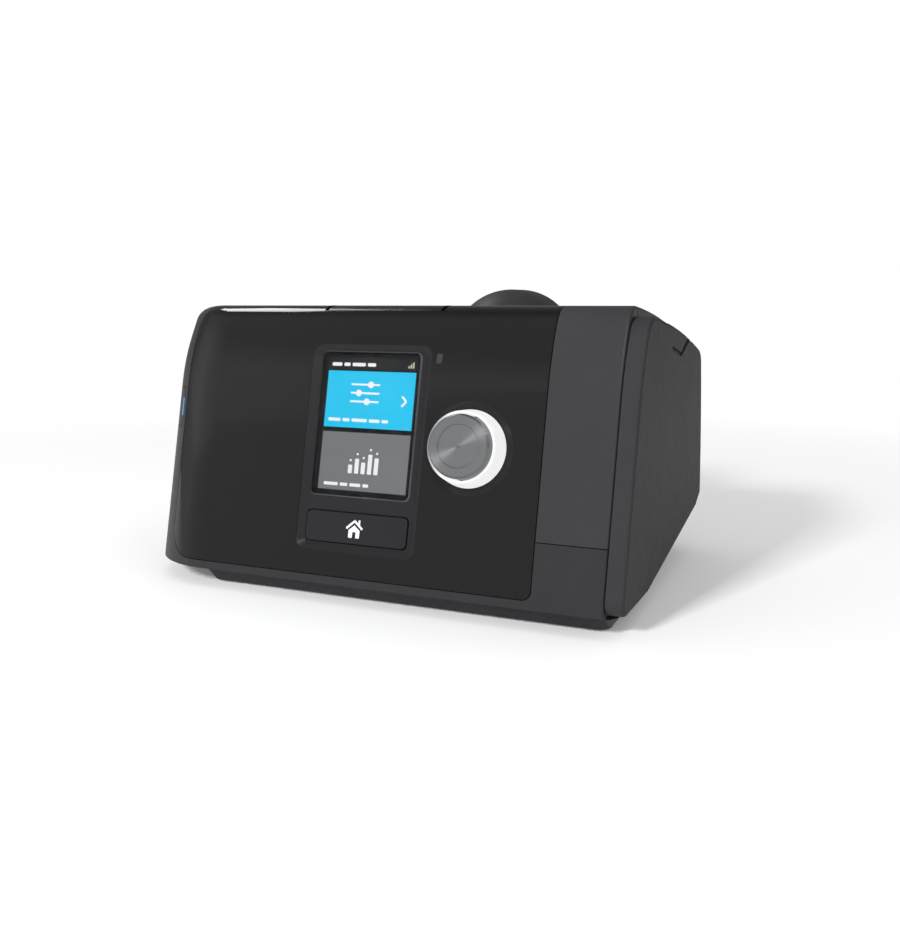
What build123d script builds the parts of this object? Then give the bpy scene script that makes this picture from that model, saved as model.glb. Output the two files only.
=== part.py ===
from build123d import *
from functools import lru_cache
from math import cos, radians, sin
import os

# Bedside breathing-therapy air machine with a heated water tub.
#
# Millimetres, +Z up, +X to the right, the front faces -Y.  The origin is the middle of
# the footprint.  Every function below makes one physical piece; PIECES at the end names them.

# ---------------------------------------------------------------- overall form
WIDTH = 205.0               # over the left end and the tub cover
COVER_T = 6.4               # side cover of the tub
FIT = 0.3                   # clearance round a piece that moves
LEFT = -WIDTH / 2
COVER_OUT = WIDTH / 2
COVER_IN = COVER_OUT - COVER_T
RIGHT = COVER_IN - FIT      # right face of the housing
FRONT_Y = -75.0             # front edge of the chin
CHIN_Z = 7.4                # lower edge of the leaning front face
FRONT_LEAN = 13.05          # degrees the front face leans back
FACE_LENGTH = 74.5          # flat part of the front face
SHOULDER_R = 85.0           # the face starts to curve back
SHOULDER_TURN = 17.0
RIDGE_R = 11.4              # tight bend along the top front edge
ROOF_START = 4.5            # degrees the roof falls behind the ridge
ROOF_R = 605.0
ROOF_TURN = 9.0
REAR_TOP_R = 9.0
REAR_LEAN = 15.0            # degrees the rear leans at its top
REAR_R = 407.0
REAR_TURN = 9.0
UNDER_FRONT = (-36.0, 6.6)  # the underside runs nearly level to here, then rises
UNDER_REAR = (62.0, 19.8)
FRONT_CORNER_R = 37.0       # left end in plan
ROOF_EDGE_LEFT_R = 8.0      # runs on down the rear edge of the left end
ROOF_EDGE_RIGHT_R = 1.0

# ---------------------------------------------------------------- mouldings
WALL = 2.2                  # housing wall
SEAM = 0.35                 # visible gap between neighbouring mouldings
SKIN_T = 1.8                # thickness of doors and of the start button
TRIM_W = 25.25              # grey trims between the glossy panel and the tub cover
PANEL_LEFT = LEFT + 18.5    # glossy panel
PANEL_RIGHT = RIGHT - TRIM_W - SEAM
PANEL_BOTTOM = 10.6
PANEL_TOP = 109.4
PANEL_BACK_Y = -38.5        # the panel ends just behind the ridge
PANEL_LEFT_R = 11.0
PANEL_RIGHT_R = 3.0
TRIM_SPLIT_Z = 30.0         # seam between the upper and lower grey trims
CHIN_LEFT = LEFT + 30.5
CHIN_BACK_Y = -62.0
LIP_GAP = 1.2               # the lip's floor starts this far behind the panel
REAR_SEAM_Y = 50.0
BASE_RIM = 4.0              # height of the base's rim above the underside

# ---------------------------------------------------------------- base
PLINTH_LEFT = LEFT + 35.2
PLINTH_RIGHT = RIGHT - 0.1
PLINTH_FRONT = -66.5
PLINTH_REAR = 66.0
PLINTH_WAIST = (-4.0, 9.0)  # behind the waist the right end is narrower
PLINTH_NARROW = 9.7
PLINTH_R = 5.0
PLINTH_LEFT_FLARE = 0.1     # outward, for each millimetre up
PLINTH_RIGHT_FLARE = 0.64
PLINTH_FRONT_FLARE = 0.86
PLINTH_REAR_FLARE = 0.21
PLINTH_TOP = 26.0
TOE_GAP = 0.5               # under the tub cover, which slides over the toe
FOOT_H = 0.8                # the feet stand proud by this much
FOOT_R = 6.0
FOOT_INSET = 11.0
FLOOR_T = 2.2
BASE_SCREW_R = 1.4
BASE_BOSS_R = 3.6

# ---------------------------------------------------------------- screen and buttons
SCREEN_X = 0.5
SURROUND_X = 1.0
SURROUND_W = 49.2
SURROUND_LOW = 19.3
SURROUND_HIGH = 95.0
SURROUND_BEVEL = 2.7
SURROUND_DEEP = 1.9         # depth of the tray floor
SURROUND_FLANGE = 1.6
TRAY_T = 1.5
LENS_W = 40.7
LENS_LOW = 39.8
LENS_HIGH = 92.2
LENS_DEEP = 1.5
LCD_BORDER = 2.0
LCD_T = 2.8
HOME_W = 42.1
HOME_LOW = 22.6
HOME_HIGH = 33.8
HOME_DEEP = 1.3
HOME_TRAVEL = 0.7
SENSOR_X = 28.5
SENSOR_Z = 90.5
SENSOR_W = 2.4
SENSOR_H = 3.8
BOARD_DEEP = 9.0            # front of the display board below the face
BOARD_T = 1.6
BOARD_LEFT = PANEL_LEFT + 26
BOARD_RIGHT = PANEL_RIGHT - 8.2
BOARD_LOW = 15.0
BOARD_HIGH = 90.0
START_LEFT = -24.3
START_RIGHT = 26.3
START_FRONT = -45.5
START_BACK = -27.0
START_TRAVEL = 0.8
START_BOARD_DEEP = 12.5     # the small board below the end of the ridge

# ---------------------------------------------------------------- dial
DIAL_X = 43.0
DIAL_Z = 59.5
CAP_R = 11.3
CAP_H = 9.9
RING_BASE_R = 13.9
RING_TOP_R = 12.7
RING_H = 7.0
RING_BORE_R = 11.8
DISH_R = 16.8
DISH_DEEP = 0.7
SHAFT_R = 3.0
PLUNGER_R = 4.5
TURN_FIT = 0.05             # radial clearance of turning and sliding fits
DIAL_TRAVEL = 0.8

# ---------------------------------------------------------------- water tub
COVER_DROP = 3.8            # the side cover's top edge lies below the roof
COVER_EDGE_R = 1.4
COVER_TOE_R = 5.5           # its lower front corner, seen from the side
NOTCH_START = (-7.1, 93.3)  # two strokes of the finger notch in the side cover
NOTCH_BEND = (11.5, 90.2)
NOTCH_END = (28.0, 96.4)
NOTCH_W = 1.6
NOTCH_END_W = 3.4
NOTCH_DEEP = 1.0
TUB_LEFT = LEFT + 110.5
TUB_FRONT = -37.5
TUB_REAR = 54.0
TUB_LOW = 19.0
TUB_RIM = 57.0
TUB_TOP = 83.0
LID_SIDE = 2.8              # upright rim of the lid under its slanted rear
TUB_SLANT_TOP_Y = 15.0      # the lid's rear slants down at 45 degrees from here
TUB_CORNER_R = 4.0
TUB_WALL = 1.8
SEAL_T = 1.2
BAY_GAP = 0.4
PLATE_T = 1.5
PLATE_X = (TUB_LEFT + 18, COVER_IN - 14.1)
PLATE_Y = (-26.0, 42.0)
HEATER_T = 3.0
HEATER_GAP = 0.3

# ---------------------------------------------------------------- air outlet
OUTLET_X = TUB_LEFT + 12
OUTLET_Z = 88.4
OUTLET_END_Y = 75.0
CONNECTOR_R = 11.0          # 22 mm male connector
CONNECTOR_BORE_R = 9.4
CONNECTOR_COLLAR = 0.8      # the collar in the socket's floor is larger by this
HOOD_R = 27.6
HOOD_T = 2.0
HOOD_FULL_Y = 44.0          # the hood has its full radius behind this
HOOD_TIP_Y = 18.0
HOOD_END_Y = 56.0
SOCKET_T = 2.0
SOCKET_R = HOOD_R - HOOD_T - SOCKET_T - 0.2
SOCKET_FLOOR_Y = 52.0
DUCT_R = 10.0
DUCT_T = 2.0
DUCT_BEND_R = 16.0
PORT_Y = TUB_SLANT_TOP_Y + 9.5  # outlet port in the slanted face of the lid

# ---------------------------------------------------------------- air inlet and power
FILTER_X = (LEFT + 24.5, LEFT + 60.5)
FILTER_Z = (36.0, 78.0)
FILTER_PAD_T = 6.0
LOUVRES = 7
LOUVRE_H = 2.2
INTAKE_Y = 38.0
INTAKE_HOLE_R = 9.0
POWER_X = LEFT + 80.5
POWER_Z = 42.0
POWER_W = 20.0
POWER_H = 18.0
POWER_FLOOR_Y = 60.0
PLUG_R = 4.1
PLUG_NOSE_T = 1.4           # wall of the socket's nose round the plug
CLIP_Z = 54.5
CLIP_PIN_R = 1.2
CLIP_ARM = 15.0
CLIP_T = 2.2

# ---------------------------------------------------------------- hinges of the three small covers
HINGE_DEEP = 1.2            # axis below the outer surface
HINGE_OFF = 1.8             # axis from the edge of the window
HINGE_GAP = 0.75            # gap at the hinged edge
HINGE_PIN_R = 0.7
HINGE_PIN_L = 1.6

# ---------------------------------------------------------------- left end doors
CARD_DOOR_Z = (60.0, 76.0)
CARD_DOOR_X = LEFT + 16.1   # front edge of the card door
CARD_DOOR_Y = -20.0         # its hinge edge
TAB_Z = (64.6, 71.7)
TAB_W = 1.5
ADAPTER_Y = (-14.0, 22.0)
ADAPTER_Z = (26.0, 54.0)
RECESS_T = 1.6
RECESS_DEEP = 10.0
CARD_RECESS = 16.5
CARD_W = 24.0
CARD_T = 2.1
CARD_L = 32.0
CARD_Z = 68.0
CARD_Y = -34.0

# ---------------------------------------------------------------- blower
BLOWER_X = LEFT + 72.5
BLOWER_Y = 5.0
SCROLL_R = 27.0
SCROLL_STEP = 2.5
SCROLL_WALL = 1.8
SCROLL_LOW = 58.0
SCROLL_SPLIT = 70.0
SCROLL_HIGH = 78.0
SCROLL_END_X = TUB_LEFT - 9.5
IMPELLER_R = 24.0
BLADES = 11
EYE_R = 11.0
MOTOR_R = 17.0
MOTOR_LOW = 34.0
ROTOR_SHAFT_R = 1.5
INLET_PORT_R = 7.5

# ---------------------------------------------------------------- main board
MAIN_BOARD_Z = 9.0
MAIN_BOARD_X = (PLINTH_LEFT + 11.3, PLINTH_LEFT + 73.3)
MAIN_BOARD_Y = (PLINTH_FRONT + 9.5, PLINTH_FRONT + 51.5)

LEAN = radians(FRONT_LEAN)
UP_FACE = (sin(LEAN), cos(LEAN))
FACE = Plane(origin=(0, FRONT_Y, CHIN_Z), x_dir=(1, 0, 0), z_dir=(0, -cos(LEAN), sin(LEAN)))


# ================================================================ helpers
def block(x, y, z):
    """Box between two limits on each axis."""
    size = [limits[1] - limits[0] for limits in (x, y, z)]
    centre = [(limits[1] + limits[0]) / 2 for limits in (x, y, z)]
    return Pos(*centre) * Box(*size)


def cylinder(x, y, radius, low, high):
    """Upright cylinder."""
    return Pos(x, y, (low + high) / 2) * Cylinder(radius, high - low)


def along_y(x, z, radius, front, back):
    """Cylinder lying along Y."""
    return Pos(x, (front + back) / 2, z) * Rot(90, 0, 0) * Cylinder(radius, back - front)


def along_x(y, z, radius, left, right):
    """Cylinder lying along X."""
    return Pos((left + right) / 2, y, z) * Rot(0, 90, 0) * Cylinder(radius, right - left)


def across(outline, left, right):
    """Outline drawn as (y, z), run along X between two limits."""
    return extrude(Plane.YZ.offset(left) * outline, amount=right - left, dir=(1, 0, 0))


def turned(*points):
    """Solid of revolution about Z from (radius, height) points."""
    return revolve(Plane.XZ * make_face(Polyline(*points, close=True)), Axis.Z)


def on_face(x, z, depth=0.0):
    """Place on the front face; local Z points out of the face."""
    return FACE.offset(-depth) * Pos(x, (z - CHIN_Z) / cos(LEAN))


def up_face(height):
    """Length along the face that covers a given height."""
    return height / cos(LEAN)


def face_plate(width, low, high, radius, depth, thickness, x=SCREEN_X):
    """Rounded plate parallel to the front face, between two heights."""
    outline = RectangleRounded(width, up_face(high - low), radius)
    return extrude(on_face(x, (low + high) / 2, depth) * outline, amount=-thickness)


def beside(curve):
    """Curve drawn as (y, z) moved into the plane X = 0."""
    return Plane.YZ * curve


# ================================================================ housing form
def front_curves():
    """Leaning face and the shoulder above it."""
    top = (FRONT_Y + FACE_LENGTH * UP_FACE[0], CHIN_Z + FACE_LENGTH * UP_FACE[1])
    face = Line((FRONT_Y, CHIN_Z), top)
    shoulder = JernArc(face @ 1, face % 1, SHOULDER_R, -SHOULDER_TURN)
    return [face, shoulder]


def side_curves():
    """Closed side outline: face, shoulder, ridge, roof, rear top, rear, underside."""
    face, shoulder = front_curves()
    ridge = JernArc(shoulder @ 1, shoulder % 1, RIDGE_R, -(90 - FRONT_LEAN - SHOULDER_TURN + ROOF_START))
    roof = JernArc(ridge @ 1, ridge % 1, ROOF_R, -ROOF_TURN)
    back = JernArc(roof @ 1, roof % 1, REAR_TOP_R, -(90 - REAR_LEAN - ROOF_START - ROOF_TURN))
    rear = JernArc(back @ 1, back % 1, REAR_R, -REAR_TURN)
    under = Polyline(rear @ 1, UNDER_REAR, UNDER_FRONT, face @ 0)
    return [face, shoulder, ridge, roof, back, rear, under]


@lru_cache
def side_outline(inset=0.0):
    """Side outline as a face in (y, z), drawn in by inset."""
    outline = Sketch() + make_face(Curve() + side_curves())
    if inset:
        outline = offset(outline, -inset, kind=Kind.INTERSECTION)
    return outline


def corner_cut(curves, radius, inset):
    """What a rounded upright corner of the left end takes away, swept along the side outline."""
    first, last = curves[0], curves[-1]
    lead = Line(first @ 0 - (first % 0) * radius, first @ 0)
    tail = Line(last @ 1, last @ 1 + (last % 1) * radius)
    path = Wire([beside(curve).edge() for curve in (lead, *curves, tail)])
    section_plane = Plane(origin=path @ 0, x_dir=(1, 0, 0), z_dir=path % 0)
    margin = 2.0
    middle = (radius - margin) / 2
    square = Pos(LEFT + middle, middle) * Rectangle(radius + margin, radius + margin)
    section = square - Pos(LEFT + radius, radius) * Circle(radius - inset)
    return sweep(section_plane * section, path=path)


@lru_cache
def form(inset=0.0):
    """Solid of the whole housing, drawn in by inset on every side."""
    body = across(side_outline(inset), LEFT + inset, RIGHT - inset)
    body -= corner_cut(front_curves(), FRONT_CORNER_R, inset)
    roof_middle = beside(side_curves()[3]).edge() @ 0.5
    for x, radius in ((LEFT + inset, ROOF_EDGE_LEFT_R), (RIGHT - inset, ROOF_EDGE_RIGHT_R)):
        edge = body.edges().sort_by_distance((x, roof_middle.Y, roof_middle.Z - inset))[0]
        body = fillet(edge, radius - min(inset, radius - 0.5))
    return body


@lru_cache
def skin():
    """Housing wall before it is divided into its mouldings."""
    return form() - form(WALL)


def base_zone(gap=0.0, front=CHIN_BACK_Y):
    """Space that the base's share of the housing wall fills."""
    front -= gap
    far = -FRONT_Y + 10
    rise = BASE_RIM + gap
    slope = (UNDER_REAR[1] - UNDER_FRONT[1]) / (UNDER_REAR[0] - UNDER_FRONT[0])
    rear_z = UNDER_REAR[1] + rise + slope * (far - UNDER_REAR[0])
    outline = Polygon((front, -5), (front, UNDER_FRONT[1] + rise), (UNDER_FRONT[0], UNDER_FRONT[1] + rise),
                      (far, rear_z), (far, -5), align=None)
    zone = across(outline, LEFT - 1, COVER_OUT + 1)
    below_mouth = TUB_LOW + TUB_CORNER_R + gap
    return zone + block((RIGHT - 2 * WALL, RIGHT + 1), (PANEL_BACK_Y + SEAM - gap, far), (-5, below_mouth))


def panel_zone(gap=0.0):
    """Prism that cuts the glossy panel out of the housing wall."""
    width = PANEL_RIGHT - PANEL_LEFT
    height = PANEL_TOP - PANEL_BOTTOM
    middle = ((PANEL_RIGHT + PANEL_LEFT) / 2, (PANEL_TOP + PANEL_BOTTOM) / 2)
    outline = Pos(*middle) * Rectangle(width, height)
    corners = outline.vertices()
    outline = fillet(corners.filter_by_position(Axis.X, PANEL_LEFT - 1, 0), PANEL_LEFT_R)
    outline = fillet(outline.vertices().group_by(Axis.X)[-1].sort_by(Axis.Y)[0], PANEL_RIGHT_R)
    if gap:
        outline = offset(outline, gap)
    return extrude(Plane.XZ.offset(-PANEL_BACK_Y - gap) * outline, 60)


def trim_zone(low, high, gap=0.0):
    """Prism that cuts a grey trim out of the housing wall at the right of the panel."""
    left = PANEL_RIGHT + SEAM
    return block((left - gap, RIGHT + 1), (FRONT_Y - 5, PANEL_BACK_Y + gap), (low - gap, high + gap))


def chin_zone(gap=0.0):
    """Lip below the glossy panel with the floor behind it, part of the lower trim."""
    x, back = (CHIN_LEFT - gap, RIGHT + 1), CHIN_BACK_Y + gap
    lip = block(x, (FRONT_Y - 5, back), (0, PANEL_BOTTOM - SEAM + gap))
    return lip + block(x, (FRONT_Y + WALL + LIP_GAP, back), (0, PANEL_BOTTOM + 2))


def lower_zone(gap=0.0):
    """Everything that the lower trim takes from the housing wall."""
    x = (PANEL_RIGHT - PANEL_RIGHT_R, RIGHT)
    corner = block(x, (FRONT_Y - 5, CHIN_BACK_Y), (0, PANEL_BOTTOM + PANEL_RIGHT_R))
    return trim_zone(0, TRIM_SPLIT_Z - SEAM, gap) + chin_zone(gap) + corner


def start_zone(gap=0.0):
    """Window of the start button in the ridge."""
    x, y = (START_LEFT - gap, START_RIGHT + gap), (START_FRONT - gap, START_BACK + gap)
    return block(x, y, (start_board_z(), start_board_z() + 2 * START_BOARD_DEEP))


def card_door_zone(gap=0.0):
    """Window of the card door, round the left front corner."""
    low, high = CARD_DOOR_Z
    return block((LEFT - 1, CARD_DOOR_X + gap), (FRONT_Y, CARD_DOOR_Y + gap), (low - gap, high + gap))


def adapter_zone(gap=0.0):
    """Window of the adapter cover in the left end."""
    front, back = ADAPTER_Y
    low, high = ADAPTER_Z
    return block((LEFT - 1, LEFT + WALL + 1), (front - gap, back + gap), (low - gap, high + gap))


def filter_zone(gap=0.0):
    """Window of the filter cover in the rear."""
    left, right = FILTER_X
    low, high = FILTER_Z
    return block((left - gap, right + gap), (REAR_SEAM_Y, 90), (low - gap, high + gap))


def power_zone(gap=0.0):
    """Recess of the power socket in the rear."""
    half_w, half_h = POWER_W / 2 + gap, POWER_H / 2 + gap
    x, z = (POWER_X - half_w, POWER_X + half_w), (POWER_Z - half_h, POWER_Z + half_h)
    return block(x, (POWER_FLOOR_Y, 90), z)


# ================================================================ tub section
def tub_section(grow=0.0, low=None, high=None):
    """Side section of the tub in (y, z), between two heights when they are given."""
    slant_low_z = TUB_RIM + SEAL_T + LID_SIDE
    slant_low_y = TUB_SLANT_TOP_Y + TUB_TOP - slant_low_z
    outline = Polygon((TUB_FRONT, TUB_LOW), (TUB_FRONT, TUB_TOP), (TUB_SLANT_TOP_Y, TUB_TOP),
                      (slant_low_y, slant_low_z), (TUB_REAR, slant_low_z - 2), (TUB_REAR, TUB_LOW),
                      align=None)
    outline = fillet(outline.vertices(), TUB_CORNER_R)
    if grow:
        outline = offset(outline, grow)
    if low is not None:
        outline &= Pos(0, (low + high) / 2) * Rectangle(4 * TUB_REAR, high - low)
    return outline


def tub_prism(grow, left, right, low=None, high=None):
    """Tub section run along X."""
    return across(tub_section(grow, low, high), left, right)


@lru_cache
def bay_mouth():
    """Opening that the bay makes in the right wall of the housing."""
    return tub_prism(BAY_GAP + TUB_WALL, RIGHT - 3 * WALL, RIGHT + 1)


def port_place(lift=0.0):
    """Outlet port on the slanted face, local Z pointing up and back; lift is measured along it."""
    normal = Vector(0, 1, 1).normalized()
    port_z = TUB_TOP - (PORT_Y - TUB_SLANT_TOP_Y)
    return Plane(origin=Vector(OUTLET_X, PORT_Y, port_z) + normal * lift, x_dir=(1, 0, 0), z_dir=normal)


def inlet_y():
    """Middle of the blower's outlet channel."""
    return BLOWER_Y - SCROLL_R - 2 * SCROLL_STEP


def inlet_z():
    """Height of the blower's outlet channel."""
    return (SCROLL_LOW + SCROLL_HIGH) / 2


# ================================================================ casings
def front_panel():
    """Glossy panel over the whole front, wrapping over the ridge and round the left corner."""
    panel = (skin() & panel_zone()) - chin_zone(SEAM) - base_zone()
    panel -= extrude(surround_outline(0, 0), amount=4 * WALL, both=True)
    panel -= on_face(DIAL_X, DIAL_Z) * Cylinder(RING_BASE_R + 0.1, 12)
    dish = turned((0, -DISH_DEEP), (RING_BASE_R + 0.8, -DISH_DEEP), (DISH_R, 0), (DISH_R, 2), (0, 2))
    panel -= on_face(DIAL_X, DIAL_Z) * dish
    panel -= sensor_shape(0.0, 12)
    return panel - start_zone()


def sensor_shape(depth, thickness):
    """D-shaped window of the light sensor."""
    half = SENSOR_H / 2
    outline = Pos(-SENSOR_W / 4, 0) * Rectangle(SENSOR_W / 2, SENSOR_H) + Circle(half)
    outline &= Rectangle(SENSOR_W, SENSOR_H)
    return extrude(on_face(SENSOR_X, SENSOR_Z, depth - 1.5) * outline, amount=-thickness)


def sensor_window():
    """Clear plug in the sensor hole."""
    return sensor_shape(0.0, 4 * WALL) & (form(0.2) - form(2 * WALL))


def top_cover():
    """Roof, left end and the strip of wall round the left of the glossy panel."""
    cover = skin() - base_zone() - panel_zone(SEAM) - trim_zone(0, 200, SEAM) - lower_zone()
    cover -= block((LEFT - 1, COVER_OUT), (REAR_SEAM_Y, 90), (0, 130))
    cover -= start_zone() + card_door_zone() + adapter_zone()
    cover -= hood_form(HOOD_T)
    cover -= bay_mouth()
    for hinge in (card_hinge(), adapter_hinge()):
        cover -= hinge_pins(hinge, TURN_FIT)
    board_top = start_board_z() + BOARD_T
    for x in (START_LEFT + 6, START_RIGHT - 6):
        cover += cylinder(x, START_BACK + 3.5, 2.0, board_top, board_top + 20) & form(WALL / 2)
    return cover


def rear_cover():
    """Rear wall with the filter window, the power recess and two ears for the retention clip."""
    cover = skin() & block((LEFT - 1, COVER_OUT), (REAR_SEAM_Y + SEAM, 90), (0, 130))
    cover = cover - base_zone() - filter_zone() - bay_mouth()
    cover -= along_y(OUTLET_X, OUTLET_Z, SOCKET_R + SOCKET_T, HOOD_TIP_Y + 10, 90)
    cover -= hinge_pins(filter_hinge(), TURN_FIT)
    pocket = power_zone(RECESS_T) & form(WALL / 2)
    cover += pocket + Pos(0, -RECESS_T, 0) * pocket
    cover -= power_zone()
    cover -= along_y(POWER_X, POWER_Z, PLUG_R + PLUG_NOSE_T, POWER_FLOOR_Y - 5, POWER_FLOOR_Y + 5)
    hinge_y = clip_hinge_y()
    for side in (-1, 1):
        ear_x = POWER_X + side * (POWER_W / 2 + 1.2)
        ear = along_x(hinge_y, CLIP_Z, 2.6, ear_x - 1.2, ear_x + 1.2)
        ear += block((ear_x - 1.2, ear_x + 1.2), (hinge_y - 6, hinge_y), (CLIP_Z - 2.6, CLIP_Z + 2.6))
        cover += ear - form(WALL / 2)
        cover -= along_x(hinge_y, CLIP_Z, CLIP_PIN_R + TURN_FIT, ear_x - 2, ear_x + 2)
    return cover


def upper_trim():
    """Tall grey strip between the glossy panel and the tub cover."""
    return (skin() & trim_zone(TRIM_SPLIT_Z, 200)) - bay_mouth()


def lower_trim():
    """Short grey strip with the lip that runs on under the glossy panel."""
    return (skin() & lower_zone()) - panel_zone(SEAM) - base_zone() - bay_mouth()


def plinth_outline(z, inset):
    """Outline of the plinth at a height; its sides flare outward, the front most of all."""
    rise = z - FOOT_H
    left = PLINTH_LEFT - PLINTH_LEFT_FLARE * rise + inset
    right = PLINTH_RIGHT + PLINTH_RIGHT_FLARE * rise - inset
    front = PLINTH_FRONT - PLINTH_FRONT_FLARE * rise + inset
    rear = PLINTH_REAR + PLINTH_REAR_FLARE * rise - inset
    narrow = right - PLINTH_NARROW
    outline = Polygon((left, front), (right, front), (right, PLINTH_WAIST[0] - inset),
                      (narrow, PLINTH_WAIST[1] - inset), (narrow, rear), (left, rear), align=None)
    return Plane.XY.offset(z) * fillet(outline.vertices(), PLINTH_R)


def plinth(inset, low):
    """Flared plinth from a height up to where the housing has long closed over it."""
    return loft([plinth_outline(low, inset), plinth_outline(PLINTH_TOP, inset)], ruled=True)


def below_housing(right):
    """Space between the table and the underside of the housing, up to a limit on the right."""
    outline = Polygon((FRONT_Y, 0), (FRONT_Y, CHIN_Z), UNDER_FRONT, UNDER_REAR,
                      (OUTLET_END_Y, PLINTH_TOP), (OUTLET_END_Y, 0), align=None)
    return across(outline, LEFT, right)


def foot_places():
    """Centres of the four feet."""
    left, right = PLINTH_LEFT + FOOT_INSET, PLINTH_RIGHT - FOOT_INSET
    front, rear = PLINTH_FRONT + FOOT_INSET, PLINTH_REAR - FOOT_INSET
    return [(left, front), (left, rear), (right, front), (right - PLINTH_NARROW, rear)]


def screw_places():
    """Centres of the base screws, beside the feet."""
    return [(x + (14 if x < 0 else -14), y) for x, y in foot_places()]


def base_tray():
    """Plinth with the underside and its rim, bosses for the screws and posts for the board."""
    outer = (plinth(0, FOOT_H) & below_housing(RIGHT)) - form()
    tray = outer + (skin() & base_zone(-SEAM))
    hollow = block((LEFT, RIGHT - WALL), (FRONT_Y + WALL, PLINTH_REAR), (0, PLINTH_TOP))
    tray -= plinth(WALL, FOOT_H + FLOOR_T) & hollow
    tray -= bay_mouth()
    for x, y in foot_places():
        tray -= cylinder(x, y, FOOT_R + 0.1, 0, FOOT_H + 1)
    for x, y in screw_places():
        tray += cylinder(x, y, BASE_BOSS_R, FOOT_H + FLOOR_T, 9)
        tray -= cylinder(x, y, BASE_SCREW_R, 0, 20) + cylinder(x, y, 2 * BASE_SCREW_R, 0, FOOT_H + 2)
    for x, y in board_posts():
        tray += cylinder(x, y, 2.5, FOOT_H + FLOOR_T, MAIN_BOARD_Z)
    return tray


def rubber_feet():
    """Four pads in their pockets and the toe on the right end, under the tub cover."""
    feet = [cylinder(x, y, FOOT_R, 0, FOOT_H + 1) for x, y in foot_places()]
    under_cover = block((RIGHT, COVER_OUT), (FRONT_Y, PLINTH_REAR), (0, UNDER_FRONT[1] - TOE_GAP))
    return Part() + feet + (plinth(0, FOOT_H) & under_cover)


def base_screws():
    """Screws up through the floor into the bosses."""
    screws = Part()
    for x, y in screw_places():
        screws += cylinder(x, y, BASE_SCREW_R, FOOT_H + 0.8, 9)
        screws += cylinder(x, y, 2 * BASE_SCREW_R, FOOT_H + 0.6, FOOT_H + 2)
    return screws


# ================================================================ front group
def surround_outline(grow, depth):
    """Rounded outline of the screen surround at a depth."""
    height = up_face(SURROUND_HIGH - SURROUND_LOW)
    outline = RectangleRounded(SURROUND_W + 2 * grow, height + 2 * grow, max(4 + grow, 1.5))
    return on_face(SURROUND_X, (SURROUND_LOW + SURROUND_HIGH) / 2, depth) * outline


def screen_surround():
    """Tray with bevelled sides that frames the screen and the home button."""
    floor_back = SURROUND_DEEP + TRAY_T
    tray = extrude(surround_outline(0, 0), amount=-(floor_back + 1)) & form()
    tray += extrude(surround_outline(SURROUND_FLANGE, WALL), amount=-3) & form(WALL)
    bevel = loft([surround_outline(0.6, -0.2), surround_outline(-SURROUND_BEVEL, SURROUND_DEEP)])
    tray -= bevel
    tray -= face_plate(LENS_W + 0.1, LENS_LOW, LENS_HIGH, 2, 0, 12)
    tray -= face_plate(HOME_W + 2 * FIT, HOME_LOW - FIT, HOME_HIGH + FIT, 2, 0, 12)
    low, high = SURROUND_LOW + 2.4, SURROUND_HIGH - 1.6
    return tray - face_plate(SURROUND_W - 3.2, low, high, 2, floor_back, 12, x=SURROUND_X)


def screen_lens():
    """Clear window over the display, a little proud of the tray floor."""
    lens = face_plate(LENS_W, LENS_LOW, LENS_HIGH, 2, LENS_DEEP, SURROUND_DEEP + TRAY_T - LENS_DEEP)
    front_edges = lens.faces().sort_by(Axis((0, 0, 0), (0, -cos(LEAN), sin(LEAN))))[-1].edges()
    return chamfer(front_edges, 0.3)


def lcd_module():
    """Display module behind the window."""
    depth = SURROUND_DEEP + TRAY_T
    width, low, high = LENS_W + 2 * LCD_BORDER, LENS_LOW - LCD_BORDER + 0.6, LENS_HIGH + 0.8
    return face_plate(width, low, high, 1, depth, LCD_T)


def home_button():
    """Wide button with a retaining lip and a stem."""
    cap = face_plate(HOME_W, HOME_LOW, HOME_HIGH, 2, HOME_DEEP, SURROUND_DEEP + TRAY_T + 0.1 - HOME_DEEP)
    front_edges = cap.faces().sort_by(Axis((0, 0, 0), (0, -cos(LEAN), sin(LEAN))))[-1].edges()
    cap = fillet(front_edges, 0.5)
    lip = face_plate(HOME_W + 1.6, HOME_LOW - 0.8, HOME_HIGH + 0.8, 2, SURROUND_DEEP + TRAY_T + 0.1, 0.9)
    root = SURROUND_DEEP + TRAY_T + 1
    stem = extrude(home_place(root) * Circle(2.2), amount=root - home_stem())
    return cap + lip + stem


def home_place(depth):
    """Middle of the home button at a depth."""
    return on_face(SCREEN_X, (HOME_LOW + HOME_HIGH) / 2, depth)


def home_stem():
    """Depth of the end of the home button's stem."""
    return BOARD_DEEP - 1.6 - HOME_TRAVEL - 0.05


def home_switch():
    """Tact switch under the home button."""
    return extrude(home_place(BOARD_DEEP) * Rectangle(6, 6), amount=0.9) + extrude(
        home_place(BOARD_DEEP - 0.9) * Circle(1.6), amount=0.7)


def carrier_posts():
    """Places of the posts that carry the display board."""
    xs = (BOARD_LEFT + 4, BOARD_RIGHT - 4)
    zs = (BOARD_LOW + 4, BOARD_HIGH - 4)
    return [(x, z) for x in xs for z in zs]


def front_carrier():
    """Inner frame behind the glossy panel with posts for the display board."""
    frame = form(WALL) - form(2 * WALL)
    frame &= block((PANEL_LEFT + 4, PANEL_RIGHT - 2), (FRONT_Y, START_FRONT + 2), (PANEL_BOTTOM + 4, 100))
    frame -= extrude(surround_outline(SURROUND_FLANGE + 0.1, 0), amount=-12)
    frame -= on_face(DIAL_X, DIAL_Z) * Cylinder(RING_BASE_R + 1.7, 30)
    frame -= sensor_shape(0.0, 12)
    for x, z in carrier_posts():
        post_deep = WALL + 1.2
        frame += extrude(on_face(x, z, post_deep) * Circle(3), amount=-(BOARD_DEEP - post_deep))
    return frame


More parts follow.
